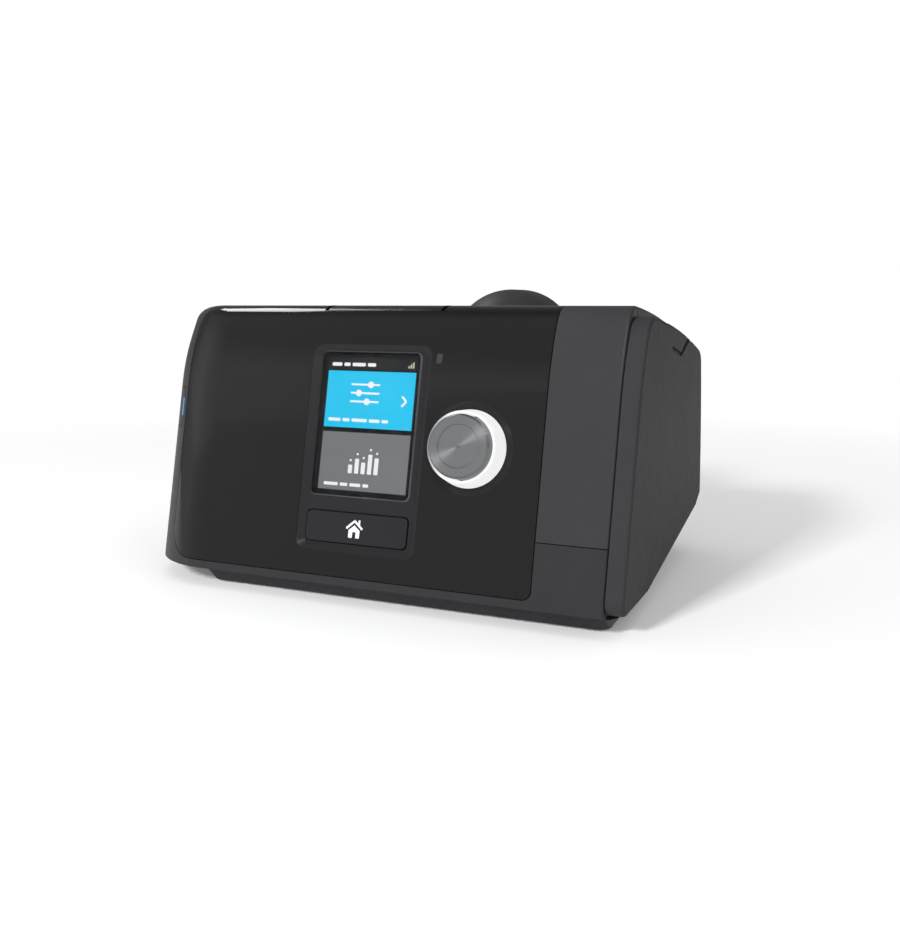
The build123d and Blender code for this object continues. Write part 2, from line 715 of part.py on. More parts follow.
def display_board():
    """Circuit board behind the display."""
    width = BOARD_RIGHT - BOARD_LEFT
    middle_x = (BOARD_RIGHT + BOARD_LEFT) / 2
    board = face_plate(width, BOARD_LOW, BOARD_HIGH, 2, BOARD_DEEP, BOARD_T, x=middle_x)
    for x, z in carrier_posts():
        board -= on_face(x, z, BOARD_DEEP) * Cylinder(1.3, 10)
    return board


def start_button():
    """Segment of the ridge that presses straight down."""
    cap = (form() - form(SKIN_T)) & start_zone(-FIT)
    middle = ((START_LEFT + START_RIGHT) / 2, (START_FRONT + START_BACK) / 2)
    stem = cylinder(*middle, 2.2, start_stem_z(), start_stem_z() + 20) & form(SKIN_T / 2)
    return cap + stem


def start_board_z():
    """Underside of the small board, below the end of the ridge."""
    return (side_curves()[2] @ 1).Y - START_BOARD_DEEP


def start_stem_z():
    """Lower end of the start button's stem."""
    return start_board_z() + BOARD_T + 2.2 + START_TRAVEL + 0.05


def start_board():
    """Small board under the start button."""
    x, y = (START_LEFT + 3, START_RIGHT - 3), (START_FRONT + 5, START_BACK + 6)
    return block(x, y, (start_board_z(), start_board_z() + BOARD_T))


def start_switch():
    """Tact switch on the small board."""
    x, y = (START_LEFT + START_RIGHT) / 2, (START_FRONT + START_BACK) / 2
    top = start_board_z() + BOARD_T
    switch = block((x - 3, x + 3), (y - 3, y + 3), (top, top + 1.4))
    return switch + cylinder(x, y, 1.6, top + 1.4, top + 2.2)


# ================================================================ dial
def dial_place(depth=0.0):
    """Middle of the dial at a depth below the face."""
    return on_face(DIAL_X, DIAL_Z, depth)


def light_ring():
    """Translucent tapered collar round the dial, held by a flange behind the panel."""
    flange_r = RING_BASE_R + 1.5
    ring = turned((RING_BORE_R, -WALL - 1), (flange_r, -WALL - 1), (flange_r, -WALL), (RING_BASE_R, -WALL),
                  (RING_BASE_R, 0), (RING_TOP_R, RING_H), (RING_BORE_R, RING_H))
    return dial_place() * ring


def dial_cap():
    """Hollow turned cap with a dished front and a boss for the shaft."""
    low = DIAL_TRAVEL - 0.2
    roof = CAP_H - 2.6
    cap = turned((SHAFT_R, low), (SHAFT_R + 1.6, low), (SHAFT_R + 1.6, roof), (CAP_R - 1.5, roof),
                 (CAP_R - 1.5, low), (CAP_R, low), (CAP_R, CAP_H - 0.9), (CAP_R - 0.7, CAP_H),
                 (CAP_R - 3.6, CAP_H), (CAP_R - 3.8, CAP_H - 0.35), (0, CAP_H - 0.55), (0, CAP_H - 4),
                 (SHAFT_R, CAP_H - 4))
    return dial_place() * cap


def dial_shaft():
    """Shaft from the cap down into the encoder."""
    shaft_end = BOARD_DEEP - DIAL_TRAVEL - 1
    return dial_place() * turned((0, -shaft_end), (SHAFT_R, -shaft_end), (SHAFT_R, CAP_H - 4), (0, CAP_H - 4))


def encoder_plunger():
    """Sleeve that the dial pushes in and turns inside."""
    bore = SHAFT_R + TURN_FIT
    low, high = -(BOARD_DEEP - DIAL_TRAVEL - 0.6), -(WALL + 1.4)
    return dial_place() * turned((bore, low), (PLUNGER_R, low), (PLUNGER_R, high), (bore, high))


def encoder():
    """Encoder body on the display board, with the guide of the plunger."""
    guide = PLUNGER_R + TURN_FIT
    neck_top = -(WALL + 2.2)
    outer = PLUNGER_R + 2
    body = turned((guide, -BOARD_DEEP), (outer, -BOARD_DEEP), (outer, neck_top), (guide, neck_top))
    housing = Pos(0, 0, -BOARD_DEEP + 1.5) * (Box(15, 15, 3) - Cylinder(guide, 4))
    return dial_place() * (body + housing)


# ================================================================ tub and bay
def bay_liner():
    """Sleeve that the tub slides into, closed at its left end."""
    left = TUB_LEFT - BAY_GAP
    liner = tub_prism(BAY_GAP + TUB_WALL, left - TUB_WALL, RIGHT) - tub_prism(BAY_GAP, left, RIGHT + 1)
    liner -= heater_block(0.1, TUB_LOW - 10, TUB_LOW)
    liner -= along_x(inlet_y(), inlet_z(), INLET_PORT_R + 1.6, left - 5, left + 1)
    return liner - port_place(BAY_GAP) * Cylinder(DUCT_R + 0.01, 8)


def heater_block(grow, low, high):
    """Rounded block on the heater's footprint."""
    width, length = PLATE_X[1] - PLATE_X[0] + 2 * grow, PLATE_Y[1] - PLATE_Y[0] + 2 * grow
    outline = Pos(sum(PLATE_X) / 2, sum(PLATE_Y) / 2) * RectangleRounded(width, length, 6)
    return extrude(Plane.XY.offset(low) * outline, high - low)


def heater_plate():
    """Metal plate in the floor of the bay."""
    top = TUB_LOW - HEATER_GAP
    return heater_block(0, top - HEATER_T, top)


def heater_carrier():
    """Plastic cradle under the heater plate, standing on the base."""
    top = TUB_LOW - HEATER_GAP - HEATER_T
    tray = heater_block(-2, top - 2.5, top)
    for x in (PLATE_X[0] + 6, PLATE_X[1] - 6):
        for y in (PLATE_Y[0] + 6, PLATE_Y[1] - 6):
            tray += cylinder(x, y, 3, FOOT_H + FLOOR_T, top - 1)
    return tray


def tub_body():
    """Open water tub."""
    tub = tub_prism(0, TUB_LEFT, COVER_IN, TUB_LOW - 1, TUB_RIM)
    tub -= tub_prism(-TUB_WALL, TUB_LEFT + TUB_WALL, COVER_IN - TUB_WALL)
    return tub - heater_block(-3, TUB_LOW - 1, TUB_LOW + TUB_WALL + 1)


def tub_plate():
    """Metal plate set in the tub's floor."""
    return heater_block(-3, TUB_LOW, TUB_LOW + PLATE_T)


def tub_seal():
    """Seal between the tub and its lid."""
    seal = tub_prism(0, TUB_LEFT, COVER_IN, TUB_RIM, TUB_RIM + SEAL_T)
    return seal - tub_prism(-TUB_WALL, TUB_LEFT + TUB_WALL, COVER_IN - TUB_WALL)


def tub_lid():
    """Lid with the inlet port in its left end and the outlet port in its slanted rear."""
    lid = tub_prism(0, TUB_LEFT, COVER_IN, TUB_RIM + SEAL_T, TUB_TOP + 1)
    lid -= tub_prism(-TUB_WALL, TUB_LEFT + TUB_WALL, COVER_IN - TUB_WALL)
    lid -= along_x(inlet_y(), inlet_z(), INLET_PORT_R, TUB_LEFT - 2, TUB_LEFT + TUB_WALL + 1)
    return lid - port_place() * Cylinder(DUCT_R, 8)


def cover_outline(inset=0.0):
    """Side outline of the tub cover: the housing's, with its top lowered along the lean of the face."""
    shift = Pos(-COVER_DROP * UP_FACE[0], -COVER_DROP * UP_FACE[1])
    outline = side_outline() & (shift * side_outline())
    toe = outline.vertices().sort_by_distance((FRONT_Y, CHIN_Z, 0))[0]
    outline = fillet(toe, COVER_TOE_R)
    return offset(outline, -inset, kind=Kind.INTERSECTION) if inset else outline


def stroke(start, start_w, end, end_w):
    """Tapered stroke with round ends, drawn as (y, z)."""
    ends = Sketch() + [Pos(*start) * Circle(start_w / 2), Pos(*end) * Circle(end_w / 2)]
    return make_hull(ends.edges())


def tub_cover():
    """Side cover of the tub: the whole right face, hollow behind, with a finger notch."""
    cover = across(cover_outline(), COVER_IN, COVER_OUT)
    cover = fillet(cover.faces().sort_by(Axis.X)[-1].edges(), COVER_EDGE_R)
    pocket = cover_outline(WALL) - tub_section()
    cover -= across(pocket, COVER_IN - 1, COVER_OUT - WALL)
    notch = stroke(NOTCH_START, NOTCH_W, NOTCH_BEND, NOTCH_W)
    notch += stroke(NOTCH_BEND, NOTCH_W, NOTCH_END, NOTCH_END_W)
    return cover - across(notch, COVER_OUT - NOTCH_DEEP, COVER_OUT + 1)


# ================================================================ air outlet
def hood_form(inset=0.0):
    """Domed solid of the hood, about the outlet axis."""
    radius, length = HOOD_R - inset, HOOD_FULL_Y - HOOD_TIP_Y - inset
    dome = EllipticalCenterArc((0, 0), length, radius, arc_size=90)
    back = HOOD_FULL_Y - HOOD_END_Y
    outline = make_face(Curve() + [dome, Polyline((0, radius), (back, radius), (back, 0), (length, 0))])
    shape = revolve(outline, Axis.X)
    return Pos(OUTLET_X, HOOD_FULL_Y, OUTLET_Z) * Rot(0, 0, -90) * shape


def outlet_hood():
    """Dome over the air outlet, standing on the roof."""
    return hood_form() - hood_form(HOOD_T) - form() - outlet_cup()


def outlet_cup():
    """Solid that the outlet socket fills, with its recess."""
    reach = form() + hood_form()
    return along_y(OUTLET_X, OUTLET_Z, SOCKET_R + SOCKET_T, SOCKET_FLOOR_Y - SOCKET_T, 90) & reach


def outlet_socket():
    """Round recess wall with the floor that carries the connector."""
    cup = outlet_cup() - along_y(OUTLET_X, OUTLET_Z, SOCKET_R, SOCKET_FLOOR_Y, 90)
    bore = CONNECTOR_R + CONNECTOR_COLLAR
    return cup - along_y(OUTLET_X, OUTLET_Z, bore, SOCKET_FLOOR_Y - 10, SOCKET_FLOOR_Y + 1)


def outlet_connector():
    """Male connector for the breathing tube."""
    front = SOCKET_FLOOR_Y - SOCKET_T
    tube = along_y(OUTLET_X, OUTLET_Z, CONNECTOR_R, SOCKET_FLOOR_Y, OUTLET_END_Y)
    tube += along_y(OUTLET_X, OUTLET_Z, CONNECTOR_R + CONNECTOR_COLLAR, front, SOCKET_FLOOR_Y)
    tube += along_y(OUTLET_X, OUTLET_Z, CONNECTOR_R + 3, front - 2, front)
    return tube - along_y(OUTLET_X, OUTLET_Z, CONNECTOR_BORE_R, front - 3, OUTLET_END_Y + 1)


def outlet_path():
    """Centre line of the duct: up and back from the port, then straight back."""
    start = port_place(BAY_GAP + TUB_WALL).origin
    rise = OUTLET_Z - start.Z
    end_y = SOCKET_FLOOR_Y - SOCKET_T - 2
    bend, end = (OUTLET_X, start.Y + rise, OUTLET_Z), (OUTLET_X, end_y, OUTLET_Z)
    return FilletPolyline(start, bend, end, radius=DUCT_BEND_R)


def outlet_duct():
    """Bent duct from the bay to the connector."""
    path = outlet_path()
    plane = Plane(origin=path @ 0, x_dir=(1, 0, 0), z_dir=path % 0)
    return sweep(plane * (Circle(DUCT_R + DUCT_T) - Circle(DUCT_R)), path=path)


def port_seals():
    """Soft rings in the two ports of the bay."""
    lift = BAY_GAP + TUB_WALL
    outlet = port_place(BAY_GAP + TUB_WALL / 2) * (Cylinder(DUCT_R, TUB_WALL) - Cylinder(DUCT_R - 2, lift))
    left = TUB_LEFT - BAY_GAP - TUB_WALL
    inlet = along_x(inlet_y(), inlet_z(), INLET_PORT_R + 1.6, left, left + TUB_WALL)
    return inlet - along_x(inlet_y(), inlet_z(), INLET_PORT_R, left - 1, left + TUB_WALL + 1) + outlet


# ================================================================ air inlet
def filter_cover():
    """Louvred cover over the filter, hinged at its lower edge."""
    cover = (form() - form(SKIN_T)) & filter_zone(-FIT)
    left, right = FILTER_X
    pitch = (FILTER_Z[1] - FILTER_Z[0]) / (LOUVRES + 1)
    for row in range(1, LOUVRES + 1):
        z = FILTER_Z[0] + row * pitch
        cover -= block((left + 6, right - 6), (REAR_SEAM_Y, 90), (z - LOUVRE_H / 2, z + LOUVRE_H / 2))
    return hinged(cover, filter_hinge(), (0, 0, -1))


def air_filter():
    """Fine filter pad."""
    left, right = FILTER_X
    low, high = FILTER_Z
    return block((left, right), (REAR_SEAM_Y, REAR_SEAM_Y + FILTER_PAD_T), (low, high))


def intake_box():
    """Box that seats the foam and the filter pad and leads the air to the blower."""
    left, right = FILTER_X
    low, high = FILTER_Z
    rim = RECESS_T
    box = block((left - rim, right + rim), (INTAKE_Y, 90), (low - rim, high + rim)) & form(WALL)
    box -= block((left, right), (INTAKE_Y + rim, 90), (low, high))
    return box - intake_hole()


def intake_hole():
    """Round air way from the filter towards the blower."""
    x, z = sum(FILTER_X) / 2, FILTER_Z[1] - INTAKE_HOLE_R - 2
    return along_y(x, z, INTAKE_HOLE_R, INTAKE_Y - 1, REAR_SEAM_Y + 1)


def muffler_foam():
    """Foam that quiets the intake."""
    left, right = FILTER_X
    low, high = FILTER_Z
    return block((left, right), (INTAKE_Y + RECESS_T, REAR_SEAM_Y), (low, high)) - intake_hole()


# ================================================================ power
def power_socket():
    """Round socket with its centre pin, behind the floor of the recess."""
    back = POWER_FLOOR_Y - RECESS_T
    nose = along_y(POWER_X, POWER_Z, PLUG_R + PLUG_NOSE_T, back, POWER_FLOOR_Y + 1)
    body = block((POWER_X - 8, POWER_X + 8), (back - 14, back), (POWER_Z - 7, POWER_Z + 7))
    socket = body + nose - along_y(POWER_X, POWER_Z, PLUG_R, POWER_FLOOR_Y - 11, POWER_FLOOR_Y + 2)
    return socket + along_y(POWER_X, POWER_Z, 0.6, POWER_FLOOR_Y - 12, POWER_FLOOR_Y)


def rear_y(z):
    """Y of the rear face at a height."""
    rear = side_curves()[5]
    hits = (Curve() + rear).edge() @ ((((rear @ 0).Y) - z) / ((rear @ 0).Y - (rear @ 1).Y))
    return hits.X


def clip_hinge_y():
    """Y of the retention clip's pins, just outside the rear face."""
    return rear_y(CLIP_Z) + CLIP_PIN_R + 1.4


def retention_clip():
    """Bail that swings down over the plug: two arms with pins and a cross bar."""
    half = POWER_W / 2 - 0.2
    arm_w = 2.4
    clip = block((POWER_X - half, POWER_X + half), (-CLIP_T / 2, CLIP_T / 2), (CLIP_ARM - 3, CLIP_ARM))
    for side in (-1, 1):
        inner = side * (half - arm_w)
        outer = side * half
        arm = (POWER_X + min(inner, outer), POWER_X + max(inner, outer))
        clip += block(arm, (-CLIP_T / 2, CLIP_T / 2), (0, CLIP_ARM))
        clip += along_x(0, 0, CLIP_T / 2, *arm)
        pin = (POWER_X + min(inner, side * (half + 2.4)), POWER_X + max(inner, side * (half + 2.4)))
        clip += along_x(0, 0, CLIP_PIN_R, *pin)
    return Pos(0, clip_hinge_y(), CLIP_Z) * Rot(REAR_LEAN - 2, 0, 0) * clip


# ================================================================ left end
def hinge_pins(hinge, grow=0.0):
    """Pin along one hinge, reaching past both ends of its cover; its bore when grown."""
    start, end = hinge
    axis = (end - start).normalized()
    reach = HINGE_PIN_L + (FIT if grow else 0)
    start, end = start - axis * reach, end + axis * reach
    plane = Plane(origin=start, z_dir=axis)
    return extrude(plane * Circle(HINGE_PIN_R + grow), amount=(end - start).length)


def card_hinge():
    """Ends of the card door's hinge axis."""
    x, y = LEFT + HINGE_DEEP, CARD_DOOR_Y - HINGE_OFF
    low, high = CARD_DOOR_Z
    return Vector(x, y, low + FIT), Vector(x, y, high - FIT)


def adapter_hinge():
    """Ends of the adapter cover's hinge axis."""
    x, y = LEFT + HINGE_DEEP, ADAPTER_Y[1] - HINGE_OFF
    low, high = ADAPTER_Z
    return Vector(x, y, low + FIT), Vector(x, y, high - FIT)


def filter_hinge():
    """Ends of the filter cover's hinge axis."""
    z = FILTER_Z[0] + HINGE_OFF
    y = rear_y(z) - HINGE_DEEP
    left, right = FILTER_X
    return Vector(left + FIT, y, z), Vector(right - FIT, y, z)


def hinged(cover, hinge, toward):
    """Cover with its pins, trimmed along the hinged edge for the swing."""
    start, end = hinge
    edge = (start + end) * 0.5 + Vector(*toward) * (HINGE_OFF - HINGE_GAP)
    keep = split(cover, Plane(origin=edge, z_dir=toward), keep=Keep.BOTTOM)
    return keep + hinge_pins(hinge)


def card_door():
    """Card door round the left front corner, hinged at its rear edge."""
    door = (form() - form(SKIN_T)) & card_door_zone(-FIT)
    return hinged(door - tab_zone(), card_hinge(), (0, 1, 0))


def tab_zone():
    """Front edge of the card door that the coloured tab takes."""
    low, high = TAB_Z
    return block((CARD_DOOR_X - FIT - TAB_W, CARD_DOOR_X), (FRONT_Y, CARD_DOOR_Y), (low, high))


def card_tab():
    """Coloured tab in the front edge of the card door."""
    return (form() - form(SKIN_T)) & tab_zone() & card_door_zone(-FIT)


def recess(zone_x, zone_y, zone_z):
    """Cup-shaped recess frame fixed inside the left end."""
    (front, back), (low, high), t = zone_y, zone_z, RECESS_T
    cup = block((LEFT, zone_x + t), (front - t, back + t), (low - t, high + t)) & form(WALL)
    return cup - block((LEFT, zone_x), (front, back), (low, high))


def card_recess():
    """Recess behind the card door, with the slot of the card socket."""
    floor_x = LEFT + CARD_RECESS
    cup = recess(floor_x, (FRONT_Y, CARD_DOOR_Y), CARD_DOOR_Z)
    return cup - block((floor_x - 1, floor_x + 5), card_y(0.2), card_z(0.2))


def card_y(grow=0.0):
    """Limits of the card across its width."""
    return (CARD_Y - CARD_W / 2 - grow, CARD_Y + CARD_W / 2 + grow)


def card_z(grow=0.0):
    """Limits of the card through its thickness."""
    return (CARD_Z - CARD_T / 2 - grow, CARD_Z + CARD_T / 2 + grow)


def card_socket():
    """Socket behind the slot."""
    left = LEFT + CARD_RECESS + RECESS_T
    shell = block((left, left + CARD_L - 6), card_y(1.2), card_z(1.2))
    return shell - block((left - 1, left + CARD_L - 8), card_y(0.0), card_z(0.0))


def memory_card():
    """Card in its socket, its end within reach behind the door."""
    end = LEFT + CARD_RECESS + RECESS_T + CARD_L - 8
    return block((end - CARD_L, end), card_y(), card_z())


def adapter_cover():
    """Flat cover of the adapter port, hinged at its rear edge."""
    return hinged((form() - form(SKIN_T)) & adapter_zone(-FIT), adapter_hinge(), (0, 1, 0))


def adapter_recess():
    """Recess behind the adapter cover."""
    return recess(LEFT + RECESS_DEEP, ADAPTER_Y, ADAPTER_Z)


def adapter_port():
    """Edge connector in the recess."""
    y, z = sum(ADAPTER_Y) / 2, sum(ADAPTER_Z) / 2
    floor_x = LEFT + RECESS_DEEP
    port = block((floor_x - 5, floor_x), (y - 11, y + 11), (z - 4, z + 4))
    return port - block((floor_x - 6, floor_x - 1), (y - 9, y + 9), (z - 2.2, z + 2.2))


# ================================================================ blower
def scroll_outline(grow=0.0):
    """Volute outline: four quarter arcs of growing radius and a straight outlet towards +X."""
    point, heading = Vector(0, -SCROLL_R), Vector(1, 0)
    curves = []
    for quarter in range(4):
        arc = JernArc(point, heading, SCROLL_R + quarter * SCROLL_STEP, 90)
        curves.append(arc)
        point, heading = arc @ 1, arc % 1
    outlet = SCROLL_END_X - BLOWER_X
    throat = curves[0] @ 0
    curves.append(Polyline(point, (outlet, point.Y), (outlet, throat.Y), throat))
    outline = Sketch() + make_face(Curve() + curves)
    return offset(outline, grow, kind=Kind.INTERSECTION) if grow else outline


def scroll_prism(grow, low, high):
    """Volute outline between two heights."""
    return extrude(Plane((BLOWER_X, BLOWER_Y, low)) * scroll_outline(grow), high - low)


def scroll_mouth():
    """Open end of the volute's outlet."""
    width = 4 * SCROLL_STEP
    y = inlet_y()
    return block((SCROLL_END_X - 1, SCROLL_END_X + 4), (y - width / 2, y + width / 2),
                 (SCROLL_LOW + SCROLL_WALL, SCROLL_HIGH - SCROLL_WALL))


def blower_base():
    """Lower half of the volute."""
    half = scroll_prism(SCROLL_WALL, SCROLL_LOW, SCROLL_SPLIT)
    half -= scroll_prism(0, SCROLL_LOW + SCROLL_WALL, SCROLL_SPLIT + 1)
    return half - scroll_mouth() - cylinder(BLOWER_X, BLOWER_Y, 4, SCROLL_LOW - 1, SCROLL_LOW + 5)


def blower_cover():
    """Upper half of the volute with the inlet eye."""
    half = scroll_prism(SCROLL_WALL, SCROLL_SPLIT, SCROLL_HIGH)
    half -= scroll_prism(0, SCROLL_SPLIT - 1, SCROLL_HIGH - SCROLL_WALL)
    lip = turned((EYE_R, 0), (EYE_R + 1.6, 0), (EYE_R + 3.6, 6), (EYE_R + 2, 6))
    half += Pos(BLOWER_X, BLOWER_Y, SCROLL_HIGH) * lip
    return half - scroll_mouth() - cylinder(BLOWER_X, BLOWER_Y, EYE_R, SCROLL_HIGH - 5, SCROLL_HIGH + 1)


def impeller():
    """Backward-curved impeller on its back plate."""
    low = SCROLL_LOW + SCROLL_WALL + 1
    high = SCROLL_HIGH - SCROLL_WALL - 1.5
    wheel = turned((ROTOR_SHAFT_R, 0), (IMPELLER_R, 0), (IMPELLER_R, 1.4), (9, 2.2), (4, 9),
                   (ROTOR_SHAFT_R, 9))
    lead = radians(30)
    blade = trace(JernArc((9.5, 0), (cos(lead), sin(lead)), 17, 60), line_width=1.1)
    blade &= Circle(IMPELLER_R)
    blade_solid = extrude(Plane.XY.offset(1) * blade, high - low - 1)
    for number in range(BLADES):
        wheel += Rot(0, 0, number * 360 / BLADES) * blade_solid
    return Pos(BLOWER_X, BLOWER_Y, low) * wheel


def rotor_shaft():
    """Motor shaft that carries the impeller."""
    return cylinder(BLOWER_X, BLOWER_Y, ROTOR_SHAFT_R, MOTOR_LOW + 4, SCROLL_LOW + SCROLL_WALL + 9)


def motor():
    """Motor can under the volute."""
    can = cylinder(BLOWER_X, BLOWER_Y, MOTOR_R, MOTOR_LOW, SCROLL_LOW)
    can = chamfer(can.faces().sort_by(Axis.Z)[0].edges(), 1.5)
    return can - cylinder(BLOWER_X, BLOWER_Y, ROTOR_SHAFT_R + TURN_FIT, MOTOR_LOW + 4, SCROLL_LOW + 1)


def blower_mount():
    """Rubber collar round the motor with three legs on the base."""
    collar_r = MOTOR_R + 3
    mount = cylinder(BLOWER_X, BLOWER_Y, collar_r, MOTOR_LOW - 3, MOTOR_LOW + 8)
    mount -= cylinder(BLOWER_X, BLOWER_Y, MOTOR_R, MOTOR_LOW, MOTOR_LOW + 9)
    for number in range(3):
        angle = radians(90 + 120 * number)
        x, y = BLOWER_X + 15 * cos(angle), BLOWER_Y + 15 * sin(angle)
        mount += cylinder(x, y, 3.5, FOOT_H + FLOOR_T, MOTOR_LOW - 2)
    return mount


def blower_duct():
    """Soft duct from the rectangular volute outlet to the round bay port."""
    end_x = TUB_LEFT - BAY_GAP - TUB_WALL
    width, height = 4 * SCROLL_STEP, SCROLL_HIGH - SCROLL_LOW - 2 * SCROLL_WALL
    start = Plane(origin=(SCROLL_END_X + SCROLL_WALL, inlet_y(), inlet_z()), x_dir=(0, 1, 0), z_dir=(1, 0, 0))
    end = Plane(origin=(end_x, inlet_y(), inlet_z()), x_dir=(0, 1, 0), z_dir=(1, 0, 0))
    outer = loft([start * RectangleRounded(width + 3, height + 3, 3), end * Circle(INLET_PORT_R + 1.5)])
    inner = loft([start * RectangleRounded(width, height, 2), end * Circle(INLET_PORT_R)])
    return outer - inner


# ================================================================ main board
def board_posts():
    """Places of the posts that carry the main board."""
    xs = (MAIN_BOARD_X[0] + 4, MAIN_BOARD_X[1] - 4)
    ys = (MAIN_BOARD_Y[0] + 12, MAIN_BOARD_Y[1] - 4)
    return [(x, y) for x in xs for y in ys]


def main_board():
    """Main circuit board on the base."""
    board = block(MAIN_BOARD_X, MAIN_BOARD_Y, (MAIN_BOARD_Z, MAIN_BOARD_Z + BOARD_T))
    for x, y in board_posts():
        board -= cylinder(x, y, 1.3, 0, 20)
    return board


def board_components():
    """Larger components on the main board."""
    top = MAIN_BOARD_Z + BOARD_T
    x, y = MAIN_BOARD_X[0], MAIN_BOARD_Y[0]
    back = MAIN_BOARD_Y[1]
    parts = block((x + 12, x + 26), (y + 6, y + 20), (top, top + 1.6))
    parts += block((x + 32, x + 42), (y + 22, y + 32), (top, top + 1.4))
    parts += block((x + 20, x + 34), (back - 8, back - 2), (top, top + 6))
    for number in range(3):
        parts += cylinder(x + 50, y + 10 + 9 * number, 3.5, top, top + 9)
    return parts


PIECES = {
    "front_panel": front_panel,
    "top_cover": top_cover,
    "rear_cover": rear_cover,
    "upper_trim": upper_trim,
    "lower_trim": lower_trim,
    "base_tray": base_tray,
    "rubber_feet": rubber_feet,
    "base_screws": base_screws,
    "screen_surround": screen_surround,
    "screen_lens": screen_lens,
    "lcd_module": lcd_module,
    "sensor_window": sensor_window,
    "front_carrier": front_carrier,
    "display_board": display_board,
    "home_button": home_button,
    "home_switch": home_switch,
    "start_button": start_button,
    "start_board": start_board,
    "start_switch": start_switch,
    "light_ring": light_ring,
    "dial_cap": dial_cap,
    "dial_shaft": dial_shaft,
    "encoder_plunger": encoder_plunger,
    "encoder": encoder,
    "bay_liner": bay_liner,
    "heater_plate": heater_plate,
    "heater_carrier": heater_carrier,
    "tub_body": tub_body,
    "tub_plate": tub_plate,
    "tub_seal": tub_seal,
    "tub_lid": tub_lid,
    "tub_cover": tub_cover,
    "outlet_hood": outlet_hood,
    "outlet_socket": outlet_socket,
    "outlet_connector": outlet_connector,
    "outlet_duct": outlet_duct,
    "port_seals": port_seals,
    "filter_cover": filter_cover,
    "air_filter": air_filter,
    "intake_box": intake_box,
    "muffler_foam": muffler_foam,
    "power_socket": power_socket,
    "retention_clip": retention_clip,
    "card_door": card_door,
    "card_tab": card_tab,
    "card_recess": card_recess,
    "card_socket": card_socket,
    "memory_card": memory_card,
    "adapter_cover": adapter_cover,
    "adapter_recess": adapter_recess,
    "adapter_port": adapter_port,
    "blower_base": blower_base,
    "blower_cover": blower_cover,
    "impeller": impeller,
    "rotor_shaft": rotor_shaft,
    "motor": motor,
    "blower_mount": blower_mount,
    "blower_duct": blower_duct,
    "main_board": main_board,
    "board_components": board_components,
}

os.makedirs("parts", exist_ok=True)
for name, make in PIECES.items():
    export_step(make(), f"parts/{name}.step")
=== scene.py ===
"""Looks of a bedside breathing-therapy air machine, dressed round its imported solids.

Everything is in metres in the part's own frame: X to the right, Y to the back, Z up, and the
front faces -Y. Sizes of pieces and their places on the leaning front face are written in
millimetres, and MM turns them into metres.
"""
import logging
from abc import ABC, abstractmethod
from dataclasses import dataclass
from enum import Enum
from math import atan2, cos, pi, radians, sin
from typing import Iterable, Optional, Sequence, Union

import bmesh
import bpy
from mathutils import Matrix, Vector


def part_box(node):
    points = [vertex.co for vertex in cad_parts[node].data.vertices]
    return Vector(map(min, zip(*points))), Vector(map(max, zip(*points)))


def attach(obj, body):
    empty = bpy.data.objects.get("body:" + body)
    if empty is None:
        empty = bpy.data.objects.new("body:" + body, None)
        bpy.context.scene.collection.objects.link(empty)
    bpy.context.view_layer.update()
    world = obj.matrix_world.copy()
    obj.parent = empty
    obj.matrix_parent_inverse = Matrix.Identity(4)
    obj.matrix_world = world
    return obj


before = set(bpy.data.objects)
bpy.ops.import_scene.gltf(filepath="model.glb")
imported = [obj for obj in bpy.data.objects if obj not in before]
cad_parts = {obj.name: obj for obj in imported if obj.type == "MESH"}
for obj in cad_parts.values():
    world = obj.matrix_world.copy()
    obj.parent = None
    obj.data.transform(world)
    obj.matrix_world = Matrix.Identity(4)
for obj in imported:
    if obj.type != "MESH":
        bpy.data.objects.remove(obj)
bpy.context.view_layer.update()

LOG = logging.getLogger("air_machine")
MM = 0.001
FACE_LEAN = radians(13.05)                  # the front face leans back by this angle
FACE_FOOT = Vector((0.0, -0.075, 0.0074))   # its lower edge, in the middle
FACE_UP = Vector((0.0, sin(FACE_LEAN), cos(FACE_LEAN)))
FACE_OUT = Vector((0.0, -cos(FACE_LEAN), sin(FACE_LEAN)))
FACE_TURN = pi / 2 - FACE_LEAN              # turn about X that brings Z to FACE_OUT

Colour = tuple[float, float, float]
Pair = tuple[float, float]
Triple = tuple[float, float, float]
Socket = bpy.types.NodeSocket

WHITE_LIGHT = (1.0, 1.0, 1.0, 1.0)
UNLIT_BLACK = (0.01, 0.01, 0.01, 1.0)
BACK = (0.0, 1.0, 0.0)
UP = (0.0, 0.0, 1.0)


class Body(Enum):
    """Rigid bodies that the new pieces ride on."""

    HOUSING = "housing"
    HOME_KEY = "home_key"
    START_KEY = "start_key"


class Slot(Enum):
    """Names of material slots that the new pieces are handed; nothing in this script reads them."""

    GLOSS_BLACK = "gloss_black"
    SURROUND_GREY = "surround_grey"
    DISPLAY = "display"


class Arithmetic(Enum):
    """Ways to combine two values in a node tree."""

    ADD = "ADD"
    MULTIPLY = "MULTIPLY"


class Share(Enum):
    """The part of a surface's light that a lamp gives."""

    DULL = "dull"
    GLOSS = "gloss"


def shade(red: float, green: float, blue: float) -> Colour:
    """Turn a colour of 0 to 255 display values into linear light.

    Args:
        red: display value of the red channel.
        green: display value of the green channel.
        blue: display value of the blue channel.

    Returns:
        The linear colour.
    """
    parts = (value / 255.0 for value in (red, green, blue))
    return tuple(part / 12.92 if part <= 0.04045 else ((part + 0.055) / 1.055) ** 2.4
                 for part in parts)


def tint(colour: Colour, factor: float) -> tuple[float, float, float, float]:
    """Scale a colour's lightness and make it opaque."""
    return (*(min(channel * factor, 1.0) for channel in colour), 1.0)


